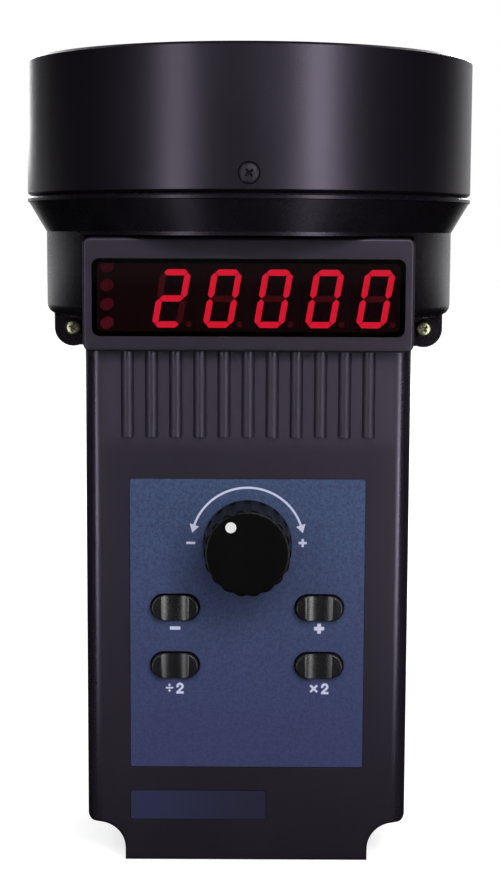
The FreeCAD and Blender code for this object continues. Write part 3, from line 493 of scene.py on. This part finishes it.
def screwTree():
    # one screw on each vertex of the host: the top of its head there, facing along "aim"
    tree = Growth("crossScrew", {"head": 0.0025, "tall": 0.0015, "dome": 0.0003, "shank": 0.0014,
                                 "length": 0.010, "cross": 0.003, "slot": 0.0006, "deep": 0.001,
                                 "seed": 1})
    half = tree.size("tall") * 0.5
    overlap = screwSet["overlap"] * mm  # of the shank into the head
    disc = tree.add("GeometryNodeMeshCylinder", {"fill_type": "TRIANGLE_FAN"}, {
        "Vertices": 36, "Side Segments": 4, "Fill Segments": 6, "Radius": tree.size("head"),
        "Depth": tree.size("tall")})
    spot = tree.add("GeometryNodeInputPosition")
    x, y, z = (tree.axis(spot, letter) for letter in "XYZ")
    part = (x * x + y * y) ** 0.5 / tree.size("head")
    lift = tree.sum("MAXIMUM", z / half, 0.0)
    drop = lift * (part ** 2 + part ** 9) * tree.size("dome")
    narrow = 1 - (lift ** 3) * 0.05
    domed = tree.add("GeometryNodeSetPosition", {}, {0: disc, "Position": tree.add(
        "ShaderNodeCombineXYZ", {}, {0: x * narrow, 1: y * narrow, 2: z - half - drop})})
    length = tree.size("length") - tree.size("tall") + overlap
    rod = tree.add("GeometryNodeMeshCylinder", {}, {
        "Vertices": 20, "Radius": tree.size("shank"), "Depth": length})
    rod = tree.add("GeometryNodeTransform", {}, {"Geometry": rod, "Translation": tree.add(
        "ShaderNodeCombineXYZ", {}, {2: 0 - tree.size("tall") + overlap - length * 0.5})})
    whole = tree.add("GeometryNodeMeshBoolean", {"operation": "UNION", "solver": "EXACT"}, {
        "Mesh 2": domed})
    tree.tree.links.new(rod.socket, whole.socket.node.inputs["Mesh 2"])
    for long, short in (("cross", "slot"), ("slot", "cross")):
        bar = tree.add("GeometryNodeMeshCube", {}, {"Size": tree.add("ShaderNodeCombineXYZ", {}, {
            0: tree.size(long), 1: tree.size(short), 2: tree.size("deep") * 2})})
        taper = 1 - (z < 0) * 0.45
        bar = tree.add("GeometryNodeSetPosition", {}, {0: bar, "Position": tree.add(
            "ShaderNodeCombineXYZ", {}, {0: x * taper, 1: y * taper, 2: z})})
        whole = tree.add("GeometryNodeMeshBoolean", {"operation": "DIFFERENCE", "solver": "EXACT"},
                         {"Mesh 1": whole, "Mesh 2": bar})
    aim = tree.add("GeometryNodeInputNamedAttribute", {"data_type": "FLOAT_VECTOR"},
                   {"Name": "aim"})
    facing = tree.add("FunctionNodeAlignRotationToVector", {"axis": "Z"}, {"Vector": aim})
    placed = tree.add("GeometryNodeInstanceOnPoints", {}, {
        "Points": Wave(tree, tree.start.outputs[0]), "Instance": whole, "Rotation": facing})
    turn = tree.add("FunctionNodeRandomValue", {"data_type": "FLOAT"}, {
        2: 0.0, 3: math.pi / 2, "Seed": tree.size("seed")}, out=1)
    return tree, tree.add("GeometryNodeRotateInstances", {}, {
        "Instances": placed, "Rotation": tree.add("ShaderNodeCombineXYZ", {}, {2: turn})})


def looseBoxes(node):
    # lowest and highest corner of each separate solid of a node
    build = bmesh.new()
    build.from_mesh(nodes[node].data)
    bmesh.ops.remove_doubles(build, verts=build.verts, dist=1e-6)
    left = set(build.verts)
    boxes = []
    while left:
        stack = [left.pop()]
        solid = []
        while stack:
            vertex = stack.pop()
            solid.append(vertex.co.copy())
            for edge in vertex.link_edges:
                other = edge.other_vert(vertex)
                if other in left:
                    left.remove(other)
                    stack.append(other)
        boxes.append((Vector(map(min, zip(*solid))), Vector(map(max, zip(*solid)))))
    build.free()
    return sorted(boxes, key=lambda corners: tuple(round(c, 5) for c in corners[0]))


def growScrews(node, values):
    places = []
    for low, high in looseBoxes(node):
        middle = (low + high) / 2
        if values["aim"] == "out":
            aim = Vector((middle.x, middle.y, 0)).normalized()
        else:
            aim = Vector(values["aim"])
        reach = max(abs(aim.dot(high - middle)), abs(aim.dot(low - middle)))
        places.append((middle + aim * reach, aim, reach * 2))
    mesh = bpy.data.meshes.new(values["name"])
    mesh.from_pydata([place for place, aim, length in places], [], [])
    stored = mesh.attributes.new("aim", "FLOAT_VECTOR", "POINT")
    for number, (place, aim, length) in enumerate(places):
        stored.data[number].vector = aim
    tree, grown = screwTree()
    tree.finish(grown, values["look"])
    sizes = {name: values[name] * mm for name in ("head", "tall", "shank", "cross")}
    sizes.update({name: screwSet[name] * mm for name in ("dome", "slot", "deep")})
    piece = tree.grow(values["name"], mesh, length=places[0][2], seed=screwSet["seed"], **sizes)
    shade(piece.data, 32)
    return settle(piece, "root", node)


for node, values in screws.items():
    growScrews(node, values)
print("screws grown:", len(screws), "sets")


# Turned and lofted shapes

def loft(name, rings, look, angle=30, fold=None):
    # a closed skin over rings of equal count, ended by a ring of one repeated point;
    # with a fold, strips end it, from each point to the one whose number makes up the fold
    mesh = bpy.data.meshes.new(name)
    count = len(rings[0])
    points = [point for ring in rings for point in ring]
    faces = []
    for row in range(len(rings) - 1):
        for number in range(count):
            after = (number + 1) % count
            faces.append((row * count + number, row * count + after,
                          (row + 1) * count + after, (row + 1) * count + number))
    if fold is not None:
        first = (len(rings) - 1) * count
        for number in range(fold // 2, fold // 2 + count // 2):
            strip = (number, number + 1, (fold - number - 1) % count, (fold - number) % count)
            faces.append([first + point for point in dict.fromkeys(strip)])
    mesh.from_pydata([(x * mm, y * mm, z * mm) for x, y, z in points], [], faces)
    build = bmesh.new()
    build.from_mesh(mesh)
    bmesh.ops.remove_doubles(build, verts=build.verts, dist=2e-7)
    bmesh.ops.recalc_face_normals(build, faces=build.faces)
    build.to_mesh(mesh)
    build.free()
    shade(mesh, angle)
    return newPiece(name, mesh, look)


def blendPoints(points, step):
    # the same line with points no further apart than the step
    line = [points[0]]
    for start, end in zip(points, points[1:]):
        parts = max(1, math.ceil(math.dist(start, end) / step))
        for part in range(1, parts + 1):
            line.append(tuple(a + (b - a) * part / parts for a, b in zip(start, end)))
    return line


# Knob: a turned blank, its flutes cut by rule

knobSet = {"z": 83.9, "foot": -42.6, "front": -57.2, "radius": 11.35, "topRadius": 10.9,
           "cavity": 8.2, "cavityEnd": -47.2, "bore": 3.0, "boreEnd": -54.0, "flutes": 18,
           "cutter": 1.5, "bite": 0.55, "start": -44.2, "roundDepth": 0.9, "steps": 288,
           "stepLength": 0.35}


def fluteTree():
    # each vertex outside a leaning round-nosed cutter is drawn in to the cutter's face
    tree = Growth("fluteCutter", {"flutes": 18, "cutter": 0.0015, "axis radius": 0.0123,
                                  "start": -0.044, "lean": 0.08, "height": 0.084})
    spot = tree.add("GeometryNodeInputPosition")
    x = tree.axis(spot, "X")
    y = tree.axis(spot, "Y")
    z = tree.axis(spot, "Z") - tree.size("height")
    radius = (x * x + z * z) ** 0.5
    step = 2 * math.pi / tree.size("flutes")
    turns = tree.sum("ARCTAN2", z, x) / step
    swing = (tree.sum("FRACT", turns) - 0.5) * step
    beside = radius * tree.sum("SINE", swing)
    past = tree.sum("MAXIMUM", y - tree.size("start"), 0.0)
    left = tree.size("cutter") ** 2 - beside * beside - past * past
    bite = tree.sum("MAXIMUM", left, 0.0) ** 0.5
    axis = tree.size("axis radius") + (y - tree.size("start")) * tree.size("lean")
    scale = tree.sum("MINIMUM", radius, axis - bite) / radius
    moved = tree.add("GeometryNodeSetPosition", {}, {
        0: Wave(tree, tree.start.outputs[0]), "Position": tree.add("ShaderNodeCombineXYZ", {}, {
            0: x * scale, 1: y, 2: z * scale + tree.size("height")})})
    tree.finish(moved, "knobBlack")
    return tree


def makeKnob():
    k = knobSet
    top, front = k["topRadius"], k["front"]
    outside = blendPoints([(k["radius"] - 0.3, k["foot"]), (k["radius"], k["foot"] - 0.3),
                           (k["radius"], k["start"]), (top, front + k["roundDepth"]),
                           (top - 0.12, front + 0.5), (top - 0.35, front + 0.2),
                           (top - 0.7, front + 0.05), (top - 1.1, front)], k["stepLength"])
    face = [(top - 2.5, front), (top - 5, front), (0, front)]
    inside = [(0, k["boreEnd"]), (k["bore"], k["boreEnd"]), (k["bore"], k["cavityEnd"]),
              (k["cavity"], k["cavityEnd"]), (k["cavity"], k["foot"])]
    rings = []
    for radius, y in inside + outside + face:
        ring = []
        for number in range(k["steps"]):
            angle = 2 * math.pi * number / k["steps"]
            ring.append((radius * math.cos(angle), y, k["z"] + radius * math.sin(angle)))
        rings.append(ring)
    blank = loft("knobBlank", rings, "knobBlack")
    lean = (k["radius"] - top) / (k["start"] - front - k["roundDepth"])
    knob = fluteTree().grow("knobCap", blank.data, cutter=k["cutter"] * mm, lean=lean,
                            start=k["start"] * mm, height=k["z"] * mm, flutes=k["flutes"],
                            **{"axis radius": (k["radius"] + k["cutter"] - k["bite"]) * mm})
    bpy.data.objects.remove(blank)
    shade(knob.data, 34)
    return settle(knob, "knob_body", "knob")


makeKnob()


# Fuse: its two pressed end caps

fuseSet = {"proud": 0.06, "length": 5.0, "wall": 0.3, "round": 0.4, "steps": 40}


def makeFuseCap(name, end, inward, middle, radius):
    k = fuseSet
    wide = radius + k["proud"]
    profile = [(0, 0), (wide - k["round"], 0), (wide - 0.3 * k["round"], 0.3 * k["round"]),
               (wide, k["round"]), (wide, k["length"]), (wide - k["wall"], k["length"]),
               (wide - k["wall"], k["wall"]), (0, k["wall"])]
    rings = []
    for out, along in profile:
        turns = [math.tau * number / k["steps"] for number in range(k["steps"])]
        rings.append([(end + inward * along, middle.y / mm + out * math.cos(turn),
                       middle.z / mm + out * math.sin(turn)) for turn in turns])
    return settle(loft(name, rings, "tubeMetal"), "root", slot="electrode_metal")


fuseLow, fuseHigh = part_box("fuse")
for name, end, inward in (("fuseCapLeft", fuseLow.x, 1), ("fuseCapRight", fuseHigh.x, -1)):
    makeFuseCap(name, end / mm - inward * fuseSet["proud"], inward, (fuseLow + fuseHigh) / 2,
                (fuseHigh.z - fuseLow.z) / 2 / mm)


# Push buttons: stadium caps with a scooped face

buttonSet = {"x": 18.5, "heights": {"Minus": 67.3, "Plus": 67.3, "Half": 52.2, "Double": 52.2},
             "halfLength": 6.05, "halfHeight": 3.15, "front": -43.8, "flangeFront": -39.3,
             "flangeBack": -38.3, "stemBack": -37.6, "flange": 1.2, "stem": 2.0, "round": 0.5,
             "scoop": 7.4, "scoopDepth": 0.9, "endSteps": 24, "sideSteps": 28, "roundSteps": 6}


def stadium(halfLength, halfHeight, inset):
    # points (x, z) of a long rounded outline, drawn in by the inset
    ends, sides = buttonSet["endSteps"], buttonSet["sideSteps"]
    reach = halfLength - halfHeight
    radius = halfHeight - inset
    line = []
    for side in (1, -1):
        for number in range(ends + 1):
            angle = math.radians(-90 + 180 * number / ends)
            line.append((side * (reach + radius * math.cos(angle)),
                         side * radius * math.sin(angle)))
        for number in range(1, sides):
            line.append((side * (reach - 2 * reach * number / sides), side * radius))
    return line


def makeButton(name, x, z):
    b = buttonSet
    length, height, stem = b["halfLength"], b["halfHeight"], b["stem"]
    levels = [(stem, stem, stem, b["stemBack"]), (stem, stem, 0, b["stemBack"]),
              (stem, stem, 0, b["flangeBack"])]
    for y in (b["flangeBack"], b["flangeFront"]):
        levels.append((length + b["flange"], height + b["flange"], 0, y))
    levels.append((length, height, 0, b["flangeFront"]))
    for number in range(b["roundSteps"] + 1):
        angle = math.radians(90 * number / b["roundSteps"])
        levels.append((length, height, b["round"] * (1 - math.cos(angle)),
                       b["front"] + b["round"] * (1 - math.sin(angle))))
    rings = []
    for halfLength, halfHeight, inset, y in levels:
        ring = []
        for across, up in stadium(halfLength, halfHeight, inset):
            reach = math.sqrt(b["scoop"] ** 2 - min(abs(across), b["scoop"]) ** 2)
            dip = max(reach - b["scoop"] + b["scoopDepth"], 0)
            ring.append((x + across, max(y, b["front"] + dip), z + up))
        rings.append(ring)
    return loft(name, rings, "buttonBlack", 26, fold=b["endSteps"])


for label, height in buttonSet["heights"].items():
    hand = -1 if label in ("Minus", "Half") else 1
    settle(makeButton("button" + label, hand * buttonSet["x"], height), label.lower() + "_body",
           "button_" + label.lower())
print("knob and buttons made")


# Printed marks: the turning arc, its signs and the keys' signs, all plain symbols

inkSet = {"front": -41.99, "back": -41.94, "knobZ": 83.9, "arcRadius": 14.4, "arcWidth": 0.56,
          "arcFrom": 19.3, "arcSteps": 60, "arrow": 2.5, "arrowSweep": 8.3}
figureSet = {"wide": 0.66, "thick": 0.21, "drop": 0.1, "sweep": 215, "steps": 12, "foot": 1.5,
             "heel": 0.8}


def placed(corners, x, z, turn=0.0):
    # an outline's corners (x, z), turned about its middle and moved
    c, s = math.cos(math.radians(turn)), math.sin(math.radians(turn))
    return [(x + a * c - b * s, z + a * s + b * c) for a, b in corners]


def bar(x, z, width, tall):
    w, t = width / 2, tall / 2
    return placed([(-w, -t), (w, -t), (w, t), (-w, t)], x, z)


def cross(x, z, size, thick, turn=0.0):
    t, h = thick / 2, size / 2
    return placed([(t, t), (t, h), (-t, h), (-t, t), (-h, t), (-h, -t), (-t, -t), (-t, -h),
                   (t, -h), (t, -t), (h, -t), (h, t)], x, z, turn)


def spotOutline(x, z, radius):
    return [(x + radius * math.cos(math.tau * n / 20), z + radius * math.sin(math.tau * n / 20))
            for n in range(20)]


def figureTwo(x, z, tall):
    # outline of a plain heavy 2: out over its bowl, along its foot and back inside the bowl
    f = figureSet
    wide, thick = tall * f["wide"], tall * f["thick"]
    outer = wide / 2
    inner = outer - thick
    top, foot = z + tall / 2 - outer, z - tall / 2
    angles = [math.radians(180 - f["sweep"] * n / f["steps"]) for n in range(f["steps"] + 1)]
    line = [(x - outer, top - f["drop"] * tall)]
    line += [(x + outer * math.cos(angle), top + outer * math.sin(angle)) for angle in angles]
    line += [(x - outer + thick * f["foot"], foot + thick), (x + outer, foot + thick),
             (x + outer, foot), (x - outer, foot), (x - outer, foot + thick * f["heel"])]
    line += [(x + inner * math.cos(angle), top + inner * math.sin(angle))
             for angle in reversed(angles)]
    line.append((x - inner, top - f["drop"] * tall))
    return line


# each sign's outline, then its x, z and sizes: beside the arc, under the keys, under the lower keys
signs = [(bar, -14.5, 84.0, 2.3, 0.62), (cross, 14.1, 84.1, 2.1, 0.62),
         (bar, -18.5, 61.8, 2.7, 0.88), (cross, 18.5, 61.8, 2.6, 0.95),
         (bar, -19.95, 46.1, 1.9, 0.44), (spotOutline, -19.95, 46.85, 0.30),
         (spotOutline, -19.95, 45.35, 0.30), (figureTwo, -17.25, 46.0, 2.9),
         (cross, 17.25, 46.0, 2.5, 0.56, 45), (figureTwo, 20.1, 46.0, 2.9)]


def addSlab(build, corners, shift):
    # ink as a closed slab: a face over the corners, and the same face moved by the shift
    face = build.faces.new([build.verts.new(corner) for corner in corners])
    slab = bmesh.ops.extrude_face_region(build, geom=[face])
    moved = [part for part in slab["geom"] if isinstance(part, bmesh.types.BMVert)]
    bmesh.ops.translate(build, verts=moved, vec=shift)


def inkPiece(name, build, look):
    bmesh.ops.recalc_face_normals(build, faces=build.faces)
    mesh = bpy.data.meshes.new(name)
    build.to_mesh(mesh)
    build.free()
    return newPiece(name, mesh, look)


def makeMarks():
    k = inkSet
    outlines = []
    for side in range(k["arcSteps"]):
        corners = []
        for part, out in ((side, 1), (side + 1, 1), (side + 1, -1), (side, -1)):
            angle = math.radians(k["arcFrom"] + (180 - 2 * k["arcFrom"]) * part / k["arcSteps"])
            radius = k["arcRadius"] + out * k["arcWidth"] / 2
            corners.append((radius * math.cos(angle), k["knobZ"] + radius * math.sin(angle)))
        outlines.append(corners)
    for hand in (1, -1):
        tip = math.radians(k["arcFrom"] - k["arrowSweep"])
        neck = math.radians(k["arcFrom"])
        points = []
        for angle, out in ((tip, 0), (neck, 1), (neck, -1)):
            radius = k["arcRadius"] + out * k["arrow"] / 2
            points.append((hand * radius * math.cos(angle), k["knobZ"] + radius * math.sin(angle)))
        outlines.append(points)
    outlines += [outline(*sizes) for outline, *sizes in signs]
    build = bmesh.new()
    for outline in outlines:
        addSlab(build, [(x * mm, k["front"] * mm, z * mm) for x, z in outline],
                (0, (k["back"] - k["front"]) * mm, 0))
    bmesh.ops.triangulate(build, faces=build.faces)
    return settle(inkPiece("labelMarks", build, "print"), "root", slot="label_print")


makeMarks()


# Plain on and off marks, laid on the rocker's two faces

rockerMarkSet = {"y": 41.0, "z": 75.2, "slope": 20.0, "offset": 4.9, "tall": 3.2, "line": 0.55,
                 "ringOut": 1.55, "ringIn": 1.05, "ringSteps": 32, "thick": 0.06, "sunk": 0.03,
                 "above": 20}


def makeRockerMarks():
    # a line and a ring, each found its place by a ray onto the rocker's face
    k = rockerMarkSet
    data = nodes["power_rocker"].data
    tree = BVHTree.FromPolygons([vertex.co.copy() for vertex in data.vertices],
                                [list(face.vertices) for face in data.polygons])
    ring = []
    for number in range(k["ringSteps"]):
        here, after = (math.tau * n / k["ringSteps"] for n in (number, number + 1))
        ring.append([(r * math.cos(t), r * math.sin(t)) for r, t in (
            (k["ringOut"], here), (k["ringOut"], after), (k["ringIn"], after),
            (k["ringIn"], here))])
    tilt = math.radians(k["slope"])
    outward = Vector((0, math.sin(tilt), math.cos(tilt)))
    along = Vector((0, math.cos(tilt), -math.sin(tilt)))
    middle = Vector((0, k["y"], k["z"])) * mm
    side = Vector((1, 0, 0))
    build = bmesh.new()
    for hand, loops in ((-1, [bar(0, 0, k["line"], k["tall"])]), (1, ring)):
        start = middle + (along * hand * k["offset"] + outward * k["above"]) * mm
        hit, normal, face, distance = tree.ray_cast(start, -outward)
        up = (along - normal * along.dot(normal)).normalized()
        for loop in loops:
            addSlab(build, [hit + (side * a + up * b - normal * k["sunk"]) * mm for a, b in loop],
                    normal * k["thick"] * mm)
    settle(inkPiece("rockerMarks", build, "dotPaint"), "rocker_body", slot="label_print")


makeRockerMarks()
print("marks printed")


# Camera, light and stage

cameraSet = {"place": (0.0, -0.480, 0.1613), "down": 6.76, "lens": 70.39, "sensor": 36,
             "roll": 0.255, "shiftX": 0.00233, "near": 0.01}


def makeCamera():
    data = bpy.data.cameras.new("photoCamera")
    data.lens = cameraSet["lens"]
    data.sensor_width = cameraSet["sensor"]
    data.shift_x = cameraSet["shiftX"]
    data.clip_start = cameraSet["near"]
    camera = bpy.data.objects.new("photoCamera", data)
    bpy.context.scene.collection.objects.link(camera)
    turn = Matrix.Rotation(math.radians(90 - cameraSet["down"]), 4, "X")
    roll = Matrix.Rotation(math.radians(cameraSet["roll"]), 4, "Z")
    camera.matrix_world = Matrix.Translation(cameraSet["place"]) @ turn @ roll
    bpy.context.scene.camera = camera


lightTarget = (0, 0, 0.12)
softBoxes = {
    "leftBox": {"azimuth": -36, "height": 0.80, "away": 1.5, "wide": 0.25, "tall": 1.5,
                "watts": 6.0},
    "rightBox": {"azimuth": 34, "height": 0.80, "away": 1.5, "wide": 0.27, "tall": 1.5,
                 "watts": 10.0},
    "frontBox": {"azimuth": 14, "height": 0.86, "away": 1.05, "wide": 0.8, "tall": 0.45,
                 "watts": 6.7},
    "backBox": {"azimuth": 160, "height": 1.00, "away": 1.5, "wide": 0.5, "tall": 1.0,
                "watts": 18},
    "farBox": {"azimuth": 200, "height": 0.80, "away": 1.5, "wide": 0.5, "tall": 1.2,
               "watts": 12},
}


def makeLights():
    target = Vector(lightTarget)
    for name, box in softBoxes.items():
        data = bpy.data.lights.new(name, "AREA")
        data.shape = "RECTANGLE"
        data.size = box["wide"]
        data.size_y = box["tall"]
        data.energy = box["watts"]
        lamp = bpy.data.objects.new(name, data)
        angle = math.radians(box["azimuth"])
        place = Vector((box["away"] * math.sin(angle), -box["away"] * math.cos(angle),
                        box["height"]))
        lamp.matrix_world = (Matrix.Translation(place) @
                             (target - place).to_track_quat("-Z", "Y").to_matrix().to_4x4())
        bpy.context.scene.collection.objects.link(lamp)


# strengths of the room, and the directions between which each fades
worldSet = {"plain": 0.12, "behind": 0.75, "ahead": 0.05, "side": 0.004, "leftShare": 0.6,
            "behindFade": (0.48, 0.96), "leftFade": (-0.35, 0.1), "aheadFade": (-0.35, -1.0),
            "glassShare": 0.35, "glassFade": (-0.8, -0.1)}


def backgroundShare(graph, through):
    # how much of the plain background a ray sees: the eye all of it, a ray through glass its share
    return graph.sum("MAXIMUM", graph.add("ShaderNodeLightPath", out="Is Camera Ray"),
                     graph.add("ShaderNodeLightPath", out="Is Transmission Ray") * through)


def makeWorld():
    # white to the eye; in reflections white behind the object and dark at the sides
    w = worldSet
    world = bpy.data.worlds.new("paleStudio")
    world.use_nodes = True
    bpy.context.scene.world = world
    sky = Graph(world.node_tree)
    glossy = sky.add("ShaderNodeLightPath", out="Is Glossy Ray")
    direction = sky.add("ShaderNodeTexCoord", out="Generated")
    across, away, up = (sky.axis(direction, letter) for letter in "XYZ")
    seen = backgroundShare(sky, sky.eased(away + up, *w["glassFade"], w["glassShare"], 1.0))
    behind = sky.eased(away, *w["behindFade"], w["side"], w["behind"])
    behind = behind * sky.eased(across, *w["leftFade"], w["leftShare"], 1.0)
    ahead = sky.eased(away, *w["aheadFade"], 0.0, w["ahead"])
    mirrored = sky.add("ShaderNodeMix", {}, {0: glossy, 2: w["plain"], 3: behind + ahead})
    strength = sky.add("ShaderNodeMix", {}, {0: seen, 2: mirrored, 3: 1.0})
    shader = sky.add("ShaderNodeBackground", {}, {"Color": (1.0, 1.0, 1.0), "Strength": strength})
    output = sky.tree.nodes.new("ShaderNodeOutputWorld")
    sky.tree.links.new(shader.socket, output.inputs["Surface"])


# the floor's look, and its bands of light in reflections with the distances of their fades;
# frontAt is a bearing in radians, boxFade a share of a tall box's half width
floorSet = {"half": 6.0, "cloud": 300, "dark": (0.60, 0.60, 0.61), "pale": (0.64, 0.64, 0.64),
            "glow": 0.70, "glowFade": (0.2, 2.2), "dull": 0.25, "band": 0.80,
            "bandFade": (0.6, 1.9), "nearFade": (0.08, 0.52), "poolFade": (1.35, 0.80),
            "frontAt": 0.35, "frontFade": (0.75, 0.3), "frontPool": 0.11, "leftPool": 1.1,
            "rightPool": 0.9, "boxFade": (1.25, 0.75), "glassShare": 0.35,
            "glassFade": (-0.5, -0.1)}


def makeFloor():
    # pale to the eye, with the shadow kept; in reflections it carries on the tall boxes' light
    f = floorSet
    mesh = bpy.data.meshes.new("floor")
    half = f["half"]
    mesh.from_pydata([(-half, -half, 0), (half, -half, 0), (half, half, 0), (-half, half, 0)], [],
                     [(0, 1, 2, 3)])
    floor = bpy.data.objects.new("floor", mesh)
    bpy.context.scene.collection.objects.link(floor)
    look = Look("paleFloor")
    white = (1.0, 1.0, 1.0)
    pale = look.add("ShaderNodeBsdfDiffuse", {}, {
        "Color": look.tint(look.noise(f["cloud"]), f["dark"], f["pale"])})
    reach = look.add("ShaderNodeVectorMath", {"operation": "LENGTH"}, {0: look.place()},
                     out="Value")
    glow = look.add("ShaderNodeEmission", {}, {
        "Color": white, "Strength": look.eased(reach, *f["glowFade"], f["glow"], 1.0)})
    shown = look.add("ShaderNodeAddShader", {}, {0: pale, 1: glow})
    across = look.axis(look.place(), "X")
    away = look.axis(look.place(), "Y")
    bearing = look.sum("ARCTAN2", across, 0 - away)
    near = look.eased(reach, *f["nearFade"], 0.0, 1.0)
    pool = look.eased(reach, *f["poolFade"], 0.0, 1.0)
    front = look.sum("ABSOLUTE", bearing - f["frontAt"])
    bands = look.eased(away, *f["bandFade"], worldSet["side"], f["band"])
    bands = bands + look.eased(front, *f["frontFade"], 0.0, f["frontPool"]) * near * pool
    for box, lift in ((softBoxes["leftBox"], f["leftPool"]),
                      (softBoxes["rightBox"], f["rightPool"])):
        spread = box["wide"] / box["away"] / 2
        fade = [spread * share for share in f["boxFade"]]
        shine = box["watts"] / (math.pi * box["wide"] * box["tall"])
        off = look.sum("ABSOLUTE", bearing - math.radians(box["azimuth"]))
        bands = bands + look.eased(off, *fade, 0.0, shine) * near * (pool * lift + 1)
    mirrored = look.add("ShaderNodeEmission", {}, {"Color": white, "Strength": bands})
    dull = look.add("ShaderNodeBsdfDiffuse", {}, {"Color": (f["dull"],) * 3})
    glossy = look.add("ShaderNodeLightPath", out="Is Glossy Ray")
    seen = backgroundShare(look, look.eased(away, *f["glassFade"], f["glassShare"], 1.0))
    other = look.add("ShaderNodeMixShader", {}, {0: glossy, 1: dull, 2: mirrored})
    both = look.add("ShaderNodeMixShader", {}, {0: seen, 1: other, 2: shown})
    look.tree.links.new(both.socket, look.output.inputs["Surface"])
    mesh.materials.append(look.material)


makeCamera()
makeLights()
makeWorld()
makeFloor()
bpy.context.scene.view_settings.view_transform = "Standard"
print("camera, lights and floor set")
